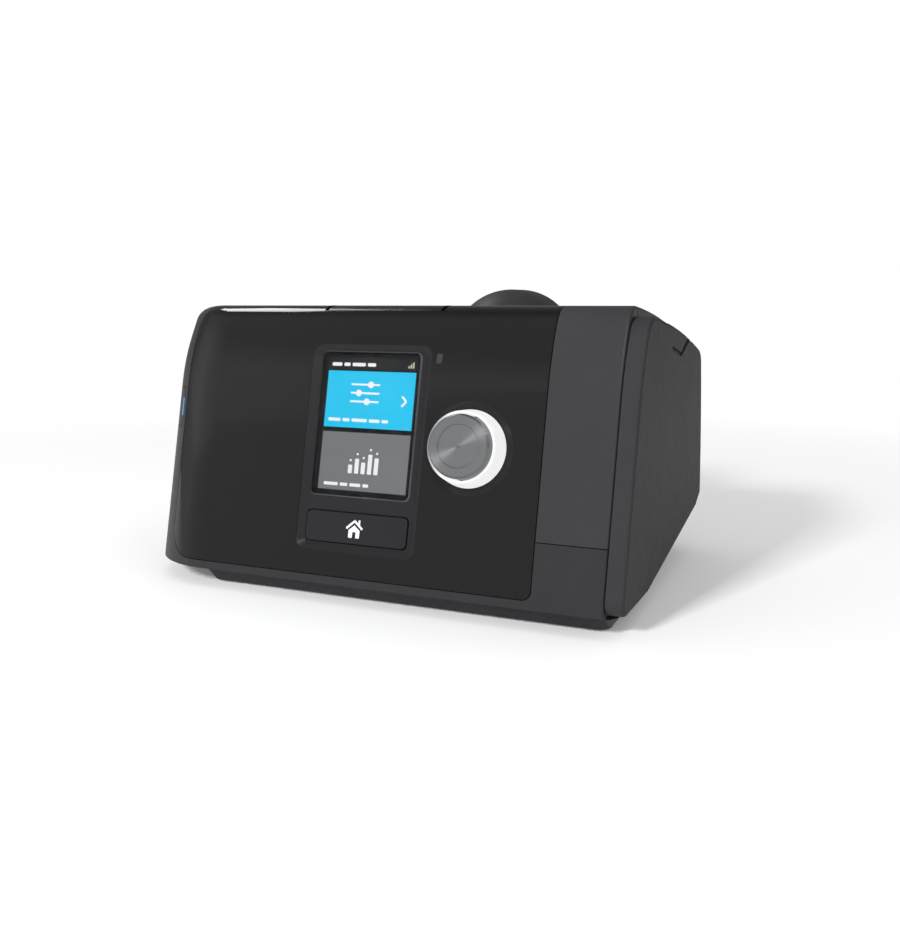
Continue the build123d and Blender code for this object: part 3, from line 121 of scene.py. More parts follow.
def on_face(x_mm: float, z_mm: float, depth_mm: float = 0.0) -> Vector:
    """Find a point of the leaning front face.

    Args:
        x_mm: distance to the right of the middle.
        z_mm: height above the table.
        depth_mm: distance below the face.

    Returns:
        The point in metres.
    """
    along = (z_mm * MM - FACE_FOOT.z) / cos(FACE_LEAN)
    return Vector((x_mm * MM, 0.0, 0.0)) + FACE_FOOT + FACE_UP * along - FACE_OUT * (depth_mm * MM)


def face_matrix(x_mm: float, z_mm: float, depth_mm: float = 0.0) -> Matrix:
    """Build the placement whose local X, Y and Z run right, up and out of the front face.

    Args:
        x_mm: distance to the right of the middle.
        z_mm: height above the table.
        depth_mm: distance below the face.

    Returns:
        The placement.
    """
    place = Matrix((Vector((1.0, 0.0, 0.0)), FACE_UP, FACE_OUT)).transposed().to_4x4()
    place.translation = on_face(x_mm, z_mm, depth_mm)
    return place


def shift(x_mm: float, y_mm: float) -> Matrix:
    """Move along a placement's own X and Y."""
    return Matrix.Translation((x_mm * MM, y_mm * MM, 0.0))


def faces_of(verts: Iterable[bmesh.types.BMVert]) -> list[bmesh.types.BMFace]:
    """Collect the faces that touch some vertices."""
    return list({face for vert in verts for face in vert.link_faces})


# ------------------------------------------------------------------ node trees
class NodeTree:
    """Node tree with the building blocks that the materials and the world share."""

    def __init__(self, tree: bpy.types.NodeTree) -> None:
        """Take over a tree."""
        self.tree = tree

    def node(self, kind: str, **settings: object) -> bpy.types.Node:
        """Add a node and set its plain properties.

        Args:
            kind: type of the node.
            **settings: values of its properties.

        Returns:
            The node.
        """
        made = self.tree.nodes.new(kind)
        for key, value in settings.items():
            setattr(made, key, value)
        return made

    def link(self, source: Socket, target: Socket) -> None:
        """Join two sockets."""
        self.tree.links.new(source, target)

    def spread(self, value: Socket, low: float, high: float, start: float = 0.0,
               end: float = 1.0) -> Socket:
        """Map a value onto another range.

        Args:
            value: what is mapped.
            low: result at the start.
            high: result at the end.
            start: value that gives the low result.
            end: value that gives the high result.

        Returns:
            The result, which never leaves the range.
        """
        made = self.node("ShaderNodeMapRange")
        made.inputs["From Min"].default_value = start
        made.inputs["From Max"].default_value = end
        made.inputs["To Min"].default_value = low
        made.inputs["To Max"].default_value = high
        self.link(value, made.inputs["Value"])
        return made.outputs["Result"]

    def combine(self, operation: Arithmetic, first: Socket, second: Socket) -> Socket:
        """Combine two values, and hold the result between 0 and 1.

        Args:
            operation: what is done with them.
            first: first value.
            second: second value.

        Returns:
            The result.
        """
        made = self.node("ShaderNodeMath", operation=operation.value, use_clamp=True)
        self.link(first, made.inputs[0])
        self.link(second, made.inputs[1])
        return made.outputs[0]


class Paint(NodeTree):
    """Node tree of one material, round its Principled shader."""

    def __init__(self, name: str) -> None:
        """Start a material.

        Args:
            name: name of the material.
        """
        self.material = bpy.data.materials.new(name)
        self.material.use_nodes = True
        super().__init__(self.material.node_tree)
        self.shader = self.tree.nodes["Principled BSDF"]
        self.output = self.tree.nodes["Material Output"]

    def set(self, **values: object) -> None:
        """Set the shader's own sockets; underscores in the names stand for spaces."""
        for key, value in values.items():
            self.shader.inputs[key.replace("_", " ")].default_value = value

    def place(self, centre: Triple = (0.0, 0.0, 0.0), turn: Triple = (0.0, 0.0, 0.0),
              scale: Triple = (1.0, 1.0, 1.0)) -> Socket:
        """Give the object's coordinates, moved, turned and stretched.

        Args:
            centre: point that becomes the pattern's origin.
            turn: rotation of the pattern in radians.
            scale: stretch of the pattern along each axis.

        Returns:
            The vector socket.
        """
        coordinates = self.node("ShaderNodeTexCoord")
        mapping = self.node("ShaderNodeMapping", vector_type="TEXTURE")
        mapping.inputs["Location"].default_value = centre
        mapping.inputs["Rotation"].default_value = turn
        mapping.inputs["Scale"].default_value = scale
        self.link(coordinates.outputs["Object"], mapping.inputs["Vector"])
        return mapping.outputs["Vector"]

    def noise(self, per_metre: float, detail: float = 3.0, roughness: float = 0.5,
              where: Optional[Socket] = None) -> Socket:
        """Add a noise over the object.

        Args:
            per_metre: patches per metre.
            detail: octaves of detail.
            roughness: weight of the finer octaves.
            where: coordinates, or the object's own.

        Returns:
            The value socket.
        """
        made = self.node("ShaderNodeTexNoise")
        made.inputs["Scale"].default_value = per_metre
        made.inputs["Detail"].default_value = detail
        made.inputs["Roughness"].default_value = roughness
        self.link(where or self.place(), made.inputs["Vector"])
        return made.outputs["Fac"]

    def vary_colour(self, value: Socket, colour: Colour, low: float, high: float,
                    start: float = 0.3, end: float = 0.7) -> None:
        """Let the base colour run between two tints of one colour.

        Args:
            value: what drives the tint.
            colour: the colour.
            low: factor on the colour at the start.
            high: factor on the colour at the end.
            start: value that gives the low tint.
            end: value that gives the high tint.
        """
        ramp = self.node("ShaderNodeValToRGB")
        for element, position, factor in zip(ramp.color_ramp.elements, (start, end), (low, high)):
            element.position = position
            element.color = tint(colour, factor)
        self.link(value, ramp.inputs["Fac"])
        self.link(ramp.outputs["Color"], self.shader.inputs["Base Color"])

    def vary_roughness(self, value: Socket, low: float, high: float, start: float = 0.3,
                       end: float = 0.7) -> None:
        """Let the roughness run between two levels, as spread() says."""
        self.link(self.spread(value, low, high, start, end), self.shader.inputs["Roughness"])

    def bump(self, height: Socket, strength: float, distance_mm: float) -> None:
        """Bend the shading by a height.

        Args:
            height: the height, from 0 to 1.
            strength: weight of the effect.
            distance_mm: real height of a step from 0 to 1.
        """
        made = self.node("ShaderNodeBump")
        made.inputs["Strength"].default_value = strength
        made.inputs["Distance"].default_value = distance_mm * MM
        self.link(height, made.inputs["Height"])
        self.link(made.outputs["Normal"], self.shader.inputs["Normal"])


class Surround(NodeTree):
    """Node tree of the world, which can look different in each direction and to each ray."""

    def __init__(self, name: str) -> None:
        """Make the world.

        Args:
            name: name of the world.
        """
        world = bpy.data.worlds.new(name)
        world.use_nodes = True
        bpy.context.scene.world = world
        super().__init__(world.node_tree)
        self.background = self.tree.nodes["Background"]
        self.direction = self.node("ShaderNodeTexCoord").outputs["Generated"]

    def toward(self, axis: Triple, edge: Pair) -> Socket:
        """Rise from 0 to 1 as the looking direction goes further along an axis.

        Args:
            axis: the axis.
            edge: distances along it at which the rise starts and ends.

        Returns:
            The value socket.
        """
        along = self.node("ShaderNodeVectorMath", operation="DOT_PRODUCT")
        along.inputs[1].default_value = axis
        self.link(self.direction, along.inputs[0])
        return self.spread(along.outputs["Value"], 0.0, 1.0, *edge)

    def blend(self, part: Socket, none: Union[float, Socket], full: Union[float, Socket]) -> Socket:
        """Mix two levels, each a number or a socket.

        Args:
            part: share of the second level.
            none: level where the share is 0.
            full: level where the share is 1.

        Returns:
            The mixed level.
        """
        made = self.node("ShaderNodeMix")
        self.link(part, made.inputs[0])
        for socket, level in ((made.inputs[2], none), (made.inputs[3], full)):
            if isinstance(level, float):
                socket.default_value = level
            else:
                self.link(level, socket)
        return made.outputs[0]


# ------------------------------------------------------------------ finishes
@dataclass(frozen=True)
class Finish(ABC):
    """What every finish has: a colour, and nodes that it lays on a material."""

    colour: Colour

    def make(self, name: str) -> bpy.types.Material:
        """Build a material of this finish.

        Args:
            name: name of the material.

        Returns:
            The material.
        """
        paint = Paint(name)
        self.lay(paint)
        return paint.material

    @abstractmethod
    def lay(self, paint: Paint) -> None:
        """Lay the finish's nodes on a paint."""


@dataclass(frozen=True)
class Moulded(Finish):
    """Textured injection-moulded plastic: fine spark grain, faint mottling, uneven polish."""

    roughness: float = 0.5
    grain_mm: float = 0.35
    relief: float = 0.25
    gloss: float = 0.4
    polish: float = 0.03

    def lay(self, paint: Paint) -> None:
        """Lay the grain, the mottling and the polish.

        Args:
            paint: what takes the nodes.
        """
        mottle = paint.noise(per_metre=55.0, detail=4.0, roughness=0.6)
        wear = paint.noise(per_metre=210.0, detail=5.0, roughness=0.65)
        grain = paint.noise(per_metre=1.0 / (self.grain_mm * MM), detail=2.0, roughness=0.6)
        paint.vary_colour(mottle, self.colour, low=0.95, high=1.05)
        paint.vary_roughness(wear, self.roughness - self.polish, self.roughness + self.polish)
        paint.set(Specular_IOR_Level=self.gloss)
        paint.bump(grain, self.relief, distance_mm=0.03)


@dataclass(frozen=True)
class Lacquer(Finish):
    """High-gloss plastic: deep colour, faint orange peel and barely visible smears."""

    roughness: float = 0.06
    gloss: float = 0.35
    peel: float = 0.05

    def lay(self, paint: Paint) -> None:
        """Lay the clouds, the smears and the orange peel.

        Args:
            paint: what takes the nodes.
        """
        cloud = paint.noise(per_metre=28.0, roughness=0.55)
        smear = paint.noise(per_metre=70.0, detail=6.0, roughness=0.7,
                            where=paint.place(scale=(1.0, 1.0, 2.6)))
        peel = paint.noise(per_metre=260.0, detail=2.0)
        paint.vary_colour(cloud, self.colour, low=0.9, high=1.1, start=0.25, end=0.75)
        paint.vary_roughness(smear, self.roughness * 0.7, self.roughness * 1.6,
                             start=0.35, end=0.75)
        paint.set(Specular_IOR_Level=self.gloss)
        paint.bump(peel, self.peel, distance_mm=0.02)


@dataclass(frozen=True)
class Metal(Finish):
    """Plain machined or rolled metal with fine brushing along one axis."""

    roughness: float = 0.32
    stretch: Triple = (50.0, 1.0, 1.0)

    def lay(self, paint: Paint) -> None:
        """Lay the brushing.

        Args:
            paint: what takes the nodes.
        """
        lines = paint.noise(per_metre=900.0, roughness=0.7, where=paint.place(scale=self.stretch))
        paint.vary_colour(lines, self.colour, low=0.86, high=1.08)
        paint.vary_roughness(lines, self.roughness - 0.07, self.roughness + 0.1)
        paint.set(Metallic=1.0)
        paint.bump(lines, strength=0.12, distance_mm=0.01)


@dataclass(frozen=True)
class Clear(Finish):
    """Clear or tinted moulded plastic or glass, with a faint haze."""

    roughness: float = 0.03
    ior: float = 1.49

    def lay(self, paint: Paint) -> None:
        """Lay the tint and the haze.

        Args:
            paint: what takes the nodes.
        """
        cloud = paint.noise(per_metre=40.0, roughness=0.6)
        haze = paint.noise(per_metre=120.0, detail=5.0, roughness=0.7)
        paint.vary_colour(cloud, self.colour, low=0.96, high=1.03)
        paint.vary_roughness(haze, self.roughness, self.roughness + 0.05, start=0.4, end=0.8)
        paint.set(Transmission_Weight=1.0, IOR=self.ior)


@dataclass(frozen=True)
class Rubber(Finish):
    """Silicone or rubber: soft, slightly dusty and matt."""

    roughness: float = 0.62
    translucent: float = 0.0

    def lay(self, paint: Paint) -> None:
        """Lay the dust and the fine skin.

        Args:
            paint: what takes the nodes.
        """
        dust = paint.noise(per_metre=240.0, detail=6.0, roughness=0.7)
        skin = paint.noise(per_metre=2600.0, detail=2.0)
        paint.vary_colour(dust, self.colour, low=0.94, high=1.12, start=0.35)
        paint.vary_roughness(dust, self.roughness - 0.06, self.roughness + 0.1)
        paint.set(Specular_IOR_Level=0.35, Subsurface_Weight=self.translucent,
                  Subsurface_Radius=(0.003, 0.003, 0.003), Sheen_Weight=0.08)
        paint.bump(skin, strength=0.2, distance_mm=0.02)


@dataclass(frozen=True)
class Fibre(Finish):
    """Felted filter fibre or open-cell foam."""

    cell_mm: float = 0.6
    relief: float = 0.7

    def lay(self, paint: Paint) -> None:
        """Lay the web of cells.

        Args:
            paint: what takes the nodes.
        """
        cells = paint.node("ShaderNodeTexVoronoi", feature="DISTANCE_TO_EDGE")
        cells.inputs["Scale"].default_value = 1.0 / (self.cell_mm * MM)
        paint.link(paint.place(), cells.inputs["Vector"])
        web = cells.outputs["Distance"]
        # darker towards the middle of each cell, which the bump sinks: painted shade in the pores
        paint.vary_colour(web, self.colour, low=1.08, high=0.7, start=0.0, end=0.5)
        paint.set(Roughness=0.9, Specular_IOR_Level=0.2, Sheen_Weight=0.2)
        paint.bump(paint.spread(web, 1.0, 0.0, end=0.5), self.relief, distance_mm=0.25)


@dataclass(frozen=True)
class Laminate(Finish):
    """Circuit board: solder mask over copper tracks."""

    colour: Colour = shade(20, 84, 52)

    def lay(self, paint: Paint) -> None:
        """Lay the mask and the tracks.

        Args:
            paint: what takes the nodes.
        """
        tracks = paint.node("ShaderNodeTexBrick", offset=0.37, squash=1.4, squash_frequency=3)
        tracks.inputs["Scale"].default_value = 150.0
        tracks.inputs["Mortar Size"].default_value = 0.045
        tracks.inputs["Color1"].default_value = tint(self.colour, 1.0)
        tracks.inputs["Color2"].default_value = tint(self.colour, 0.85)
        tracks.inputs["Mortar"].default_value = tint(self.colour, 1.9)
        paint.link(paint.place(), tracks.inputs["Vector"])
        paint.link(tracks.outputs["Color"], paint.shader.inputs["Base Color"])
        paint.vary_roughness(paint.noise(per_metre=300.0), 0.22, 0.4, start=0.0, end=1.0)
        paint.bump(tracks.outputs["Fac"], strength=0.15, distance_mm=0.03)


@dataclass(frozen=True)
class SpunMetal(Finish):
    """Turned metal with circular tool marks about an axis that stands out of the front face."""

    centre: Triple
    roughness: float = 0.4
    anisotropy: float = 0.85
    marks_mm: float = 0.12

    def lay(self, paint: Paint) -> None:
        """Lay the tool marks, and the highlights that fan out from the centre.

        Args:
            paint: what takes the nodes.
        """
        marks = paint.node("ShaderNodeTexNoise", noise_dimensions="1D")
        marks.inputs["Scale"].default_value = 1.0 / (self.marks_mm * MM)
        marks.inputs["Detail"].default_value = 2.0
        paint.link(self.radius(paint), marks.inputs["W"])
        cut = marks.outputs["Fac"]
        paint.vary_colour(cut, self.colour, low=0.9, high=1.06)
        paint.vary_roughness(cut, self.roughness - 0.05, self.roughness + 0.08)
        paint.link(self.spoke(paint), paint.shader.inputs["Tangent"])
        paint.set(Metallic=1.0, Anisotropic=self.anisotropy)
        paint.bump(cut, strength=0.08, distance_mm=0.01)

    def radius(self, paint: Paint) -> Socket:
        """Measure the distance from the axis.

        Args:
            paint: what takes the nodes.

        Returns:
            The distance in metres.
        """
        apart = paint.node("ShaderNodeSeparateXYZ")
        paint.link(paint.place(self.centre, (FACE_TURN, 0.0, 0.0)), apart.inputs[0])
        flat = paint.node("ShaderNodeCombineXYZ")
        for axis in ("X", "Y"):
            paint.link(apart.outputs[axis], flat.inputs[axis])
        length = paint.node("ShaderNodeVectorMath", operation="LENGTH")
        paint.link(flat.outputs[0], length.inputs[0])
        return length.outputs["Value"]

    def spoke(self, paint: Paint) -> Socket:
        """Point from the centre to the place that is shaded.

        Args:
            paint: what takes the nodes.

        Returns:
            The direction.
        """
        arm = paint.node("ShaderNodeVectorMath", operation="SUBTRACT")
        arm.inputs[1].default_value = self.centre
        paint.link(paint.place(), arm.inputs[0])
        turned = paint.node("ShaderNodeVectorTransform", vector_type="VECTOR",
                            convert_from="OBJECT", convert_to="WORLD")
        paint.link(arm.outputs[0], turned.inputs[0])
        return turned.outputs[0]


@dataclass(frozen=True)
class Glow(Finish):
    """Frosted light guide whose glow is painted brighter towards one side of the ring: a painted
    highlight crescent.
    """

    centre: Triple
    bright: float = 0.8
    faint: float = 0.03
    painted_light_angle: float = -0.35
    faint_at_mm: float = -9.5
    bright_at_mm: float = -3.0

    def lay(self, paint: Paint) -> None:
        """Lay the painted glow and the frost.

        Args:
            paint: what takes the nodes.
        """
        apart = paint.node("ShaderNodeSeparateXYZ")
        paint.link(paint.place(self.centre, (FACE_TURN, 0.0, self.painted_light_angle)), apart.inputs[0])
        # emission rises across the ring towards one side: painted highlight crescent
        level = paint.spread(apart.outputs["X"], self.faint, self.bright,
                             self.faint_at_mm * MM, self.bright_at_mm * MM)
        frost = paint.spread(paint.noise(per_metre=700.0), 0.93, 1.05)
        light = paint.combine(Arithmetic.MULTIPLY, level, frost)
        paint.link(light, paint.shader.inputs["Emission Strength"])
        paint.set(Base_Color=tint(self.colour, 1.0), Emission_Color=WHITE_LIGHT, Roughness=0.3)


@dataclass(frozen=True)
class Pixels(Finish):
    """Lit picture element with the faint grid of a liquid-crystal display."""

    pitch_mm: float = 0.22

    def lay(self, paint: Paint) -> None:
        """Lay the grid of pixels.

        Args:
            paint: what takes the nodes.
        """
        grid = paint.node("ShaderNodeTexBrick", offset=0.0)
        grid.inputs["Scale"].default_value = 1.0 / (self.pitch_mm * MM)
        grid.inputs["Brick Width"].default_value = 1.0
        grid.inputs["Row Height"].default_value = 1.0
        grid.inputs["Mortar Size"].default_value = 0.08
        grid.inputs["Color1"].default_value = tint(self.colour, 1.0)
        grid.inputs["Color2"].default_value = tint(self.colour, 0.98)
        grid.inputs["Mortar"].default_value = tint(self.colour, 0.9)
        paint.link(paint.place(FACE_FOOT, (FACE_TURN, 0.0, 0.0)), grid.inputs["Vector"])
        paint.link(grid.outputs["Color"], paint.shader.inputs["Emission Color"])
        paint.set(Base_Color=UNLIT_BLACK, Emission_Strength=1.0, Roughness=0.4,
                  Specular_IOR_Level=0.05)


def dress(material: bpy.types.Material, *nodes: str) -> None:
    """Give solids of the frame their finish.

    Args:
        material: the finish.
        *nodes: names of the solids.
    """
    for node in nodes:
        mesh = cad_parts[node].data
        mesh.materials.clear()
        mesh.materials.append(material)
        LOG.info("solid %s gets %s", node, material.name)


# ------------------------------------------------------------------ mesh helpers
class Shape:
    """Mesh under construction, shaped by bmesh operators; its sizes are in millimetres."""

    def __init__(self) -> None:
        """Start empty."""
        self.mesh = bmesh.new()

    def plate(self, width: float, height: float, thick: float, place: Matrix, corner: float = 0.0,
              segments: int = 5) -> "Shape":
        """Add a plate with rounded corners.

        Args:
            width: size along local X.
            height: size along local Y.
            thick: thickness towards local Z.
            place: placement of the middle of the back.
            corner: radius of the corners.
            segments: facets of each corner.

        Returns:
            The shape itself.
        """
        return self._raise(self._rectangle(width, height, corner, segments), thick, place)

    def outline(self, points: Iterable[Pair], thick: float, place: Matrix) -> "Shape":
        """Add a plate with a small polygon for its outline.

        Args:
            points: corners, counter-clockwise.
            thick: thickness towards local Z.
            place: placement of the back.

        Returns:
            The shape itself.
        """
        corners = [self.mesh.verts.new((x * MM, y * MM, 0.0)) for x, y in points]
        return self._raise([self.mesh.faces.new(corners)], thick, place)

    def disc(self, radius: float, thick: float, place: Matrix, segments: int = 32) -> "Shape":
        """Add a round plate.

        Args:
            radius: its radius.
            thick: thickness towards local Z.
            place: placement of the middle of the back.
            segments: facets of its edge.

        Returns:
            The shape itself.
        """
        made = bmesh.ops.create_circle(self.mesh, cap_ends=True, segments=segments,
                                       radius=radius * MM)
        return self._raise(faces_of(made["verts"]), thick, place)

    def bar(self, start: Pair, end: Pair, wide: float, thick: float, place: Matrix) -> "Shape":
        """Add a straight bar between two points of the placement's plane.

        Args:
            start: one end.
            end: the other end.
            wide: width of the bar.
            thick: thickness towards local Z.
            place: placement of the plane.

        Returns:
            The shape itself.
        """
        run = Vector(end) - Vector(start)
        middle = (Vector(start) + Vector(end)) * 0.5
        turn = Matrix.Rotation(atan2(run.y, run.x), 4, "Z")
        return self.plate(run.length, wide, thick, place @ shift(middle.x, middle.y) @ turn)

    def rim(self, width: float, height: float, wide: float, tall: float, corner: float,
            place: Matrix) -> "Shape":
        """Add a frame whose outer side slopes down to the placement's plane.

        Args:
            width: outer size along local X.
            height: outer size along local Y.
            wide: width of the slope.
            tall: height of the inner edge.
            corner: radius of the outer corners.
            place: placement of the middle.

        Returns:
            The shape itself.
        """
        window = self._rectangle(width, height, corner, 5)
        bmesh.ops.inset_region(self.mesh, faces=window, thickness=wide * MM, use_boundary=True,
                               use_even_offset=True)
        bmesh.ops.translate(self.mesh, vec=(0.0, 0.0, tall * MM), verts=window[0].verts[:])
        bmesh.ops.delete(self.mesh, geom=window, context="FACES_ONLY")
        bmesh.ops.transform(self.mesh, matrix=place, verts=self.mesh.verts[:])
        return self

    def band(self, node: str, low: float, high: float, lift: float) -> "Shape":
        """Lay a thin skin over the front and the top of a solid between two X positions.

        Args:
            node: solid that carries the skin.
            low: lower X position in metres.
            high: upper X position in metres.
            lift: thickness of the skin.

        Returns:
            The shape itself.
        """
        self.mesh.from_mesh(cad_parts[node].data)
        for place, side in ((low, -1.0), (high, 1.0)):
            whole = self.mesh.verts[:] + self.mesh.edges[:] + self.mesh.faces[:]
            bmesh.ops.bisect_plane(self.mesh, geom=whole, plane_co=(place, 0.0, 0.0),
                                   plane_no=(side, 0.0, 0.0), clear_outer=True)
        self.mesh.normal_update()
        # only what looks forwards or upwards is kept, without the button's two ends
        hidden = [face for face in self.mesh.faces
                  if abs(face.normal.x) > 0.5 or not (face.normal.z > 0.05 or face.normal.y < -0.3)]
        bmesh.ops.delete(self.mesh, geom=hidden, context="FACES")
        bmesh.ops.solidify(self.mesh, geom=self.mesh.faces[:], thickness=-lift * MM)
        return self

    def finish(self, name: str, body: Body, slot: Slot, material: bpy.types.Material) -> None:
        """Turn the mesh into a piece that rides on a body.

        Args:
            name: name of the piece.
            body: body that it rides on.
            slot: not used.
            material: its finish.
        """
        data = bpy.data.meshes.new(name)
        self.mesh.to_mesh(data)
        self.mesh.free()
        data.materials.append(material)
        piece = bpy.data.objects.new(name, data)
        bpy.context.scene.collection.objects.link(piece)
        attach(piece, body.value)
        LOG.info("piece %s rides on %s and gets %s", name, body.value, material.name)

    def _rectangle(self, width: float, height: float, corner: float,
                   segments: int) -> list[bmesh.types.BMFace]:
        """Add a flat rectangle with rounded corners at the origin.

        Args:
            width: size along X.
            height: size along Y.
            corner: radius of the corners, or 0 for sharp ones.
            segments: facets of each corner.

        Returns:
            Its faces.
        """
        made = bmesh.ops.create_grid(self.mesh, x_segments=1, y_segments=1, size=0.5)["verts"]
        bmesh.ops.scale(self.mesh, vec=(width * MM, height * MM, 1.0), verts=made)
        if corner:
            made = bmesh.ops.bevel(self.mesh, geom=made, offset=corner * MM, offset_type="OFFSET",
                                   affect="VERTICES", segments=segments, profile=0.5,
                                   material=-1)["verts"]
        return faces_of(made)

    def _raise(self, faces: list[bmesh.types.BMFace], thick: float, place: Matrix) -> "Shape":
        """Give flat faces their thickness and put them in place.

        Args:
            faces: faces in the XY plane, which become the back.
            thick: thickness towards Z.
            place: placement of the origin.

        Returns:
            The shape itself.
        """
        bmesh.ops.recalc_face_normals(self.mesh, faces=faces)
        for face in faces:
            if face.normal.z > 0:
                face.normal_flip()
        made = bmesh.ops.extrude_face_region(self.mesh, geom=faces, use_keep_orig=True)["geom"]
        raised = [item for item in made if isinstance(item, bmesh.types.BMVert)]
        bmesh.ops.translate(self.mesh, vec=(0.0, 0.0, thick * MM), verts=raised)
        whole = self._island(raised)
        bmesh.ops.recalc_face_normals(self.mesh, faces=faces_of(whole))
        bmesh.ops.transform(self.mesh, matrix=place, verts=whole)
        return self

    @staticmethod
    def _island(start: Iterable[bmesh.types.BMVert]) -> list[bmesh.types.BMVert]:
        """Collect every vertex that is joined to the given ones.

        Args:
            start: some of the island's vertices.

        Returns:
            All of its vertices.
        """
        found = set(start)
        front = list(found)
        while front:
            vert = front.pop()
            fresh = {edge.other_vert(vert) for edge in vert.link_edges} - found
            found |= fresh
            front.extend(fresh)
        return list(found)


# ------------------------------------------------------------------ sub-assemblies
class Assembly(ABC):
    """Group of pieces that are dressed and added together."""

    @abstractmethod
    def build(self) -> None:
        """Dress the group's solids and add its new pieces."""


@dataclass
class Casing(Assembly):
    """Outer mouldings: panel, start button, covers, trims and base."""

    panel: Finish = Lacquer(shade(14, 14, 15), 0.07, gloss=0.3)
    key: Finish = Lacquer(shade(16, 16, 17), 0.2, gloss=0.2)
    # dark matt paint for strips on the start button's ends: painted seam shadow
    seam_shadow: Finish = Moulded(shade(12, 12, 13), 0.7, gloss=0.0)
    shell: Finish = Moulded(shade(46, 46, 48), 0.5, gloss=0.25)
    upper_trim: Finish = Moulded(shade(52, 52, 54), 0.45, gloss=0.2)
    # same grey moulding as the upper trim, a shade darker: painted shade towards the bottom
    lower_trim: Finish = Moulded(shade(48, 48, 50), 0.45, gloss=0.15)
    side: Finish = Moulded(shade(57, 57, 59), 0.55, gloss=0.05)
    base: Finish = Moulded(shade(52, 51, 54), 0.6, gloss=0.1)
    tab: Finish = Moulded(shade(60, 130, 190), 0.4)
    foot: Finish = Rubber(shade(28, 28, 29))
    screw: Finish = Metal(shade(150, 150, 152), 0.35)
    seam_shadow_width: float = 1.3
    seam_shadow_lift: float = 0.05

    def build(self) -> None:
        """Dress the solids of the casing and lay painted seam shadow over the ends of the start
        button.
        """
        dress(self.panel.make("gloss_panel_plastic"), "front_panel")
        dress(self.key.make("start_key_plastic"), "start_button")
        self.paint_key_seam_shadows()
        dress(self.shell.make("shell_plastic"), "top_cover", "rear_cover", "outlet_hood",
              "outlet_socket", "filter_cover", "retention_clip", "card_door", "adapter_cover")
        dress(self.upper_trim.make("trim_plastic"), "upper_trim")
        dress(self.lower_trim.make("lower_trim_shaded_plastic"), "lower_trim")
        dress(self.side.make("side_cover_plastic"), "tub_cover")
        dress(self.base.make("base_plastic"), "base_tray")
        dress(self.foot.make("foot_rubber"), "rubber_feet")
        dress(self.screw.make("screw_steel"), "base_screws")
        dress(self.tab.make("blue_tab_plastic"), "card_tab")

    def paint_key_seam_shadows(self) -> None:
        """Add dark matt strips over both ends of the start button: painted shadow of its seams."""
        dull = self.seam_shadow.make("seam_shadow_paint")
        width = self.seam_shadow_width * MM
        low, high = (corner[0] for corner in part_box("start_button"))
        # each strip is a painted shadow at one end of the button
        for name, start in (("start_key_seam_shadow_left", low), ("start_key_seam_shadow_right", high - width)):
            shape = Shape().band("start_button", start, start + width, self.seam_shadow_lift)
            shape.finish(name, Body.START_KEY, Slot.GLOSS_BLACK, dull)


@dataclass
class ScreenGroup(Assembly):
    """Screen with its window, its surround and the light sensor beside it."""

    centre_x: float = 0.5
    lens_width: float = 40.7
    lens_low: float = 39.8
    lens_high: float = 92.2
    lens_corner: float = 2.0
    tray_depth: float = 1.9
    rim_width: float = 0.55
    rim_height: float = 0.6
    rim_sink: float = 0.02
    surround: Finish = Moulded(shade(33, 33, 35), 0.42, grain_mm=0.3, relief=0.15, gloss=0.2)
    glass: Finish = Clear(shade(235, 238, 240), 0.0, ior=1.22)
    sensor: Finish = Lacquer(shade(52, 52, 56), 0.15)
    display: Finish = Lacquer(shade(14, 14, 15), 0.25, gloss=0.1)
    # pale grey on the rim: painted highlight along the window's edge
    rim: Finish = Lacquer(shade(80, 80, 82), 0.22, gloss=0.5)

    def build(self) -> None:
        """Dress the screen's solids and add the rim of the window."""
        dress(self.surround.make("surround_plastic"), "screen_surround")
        dress(self.glass.make("screen_glass"), "screen_lens")
        dress(self.sensor.make("sensor_window_plastic"), "sensor_window")
        dress(self.display.make("display_black"), "lcd_module")
        self.lens_rim()

    def lens_rim(self) -> None:
        """Add the thin sloping rim that seats the window in the tray; its pale colour is a painted
        highlight along the window's edge.
        """
        wide = self.rim_width
        tall = (self.lens_high - self.lens_low) / cos(FACE_LEAN)
        place = face_matrix(self.centre_x, (self.lens_low + self.lens_high) / 2,
                            self.tray_depth - self.rim_sink)
        shape = Shape().rim(self.lens_width + 2 * wide, tall + 2 * wide, wide, self.rim_height,
                            self.lens_corner + wide, place)
        shape.finish("lens_rim", Body.HOUSING, Slot.SURROUND_GREY, self.rim.make("rim_painted_highlight"))


@dataclass(frozen=True)
class DashRow:
    """Row of plain dashes that stands where a line of words would."""

    start: float
    height: float
    runs: Sequence[float]
    tall: float = 1.2
    gap: float = 0.9


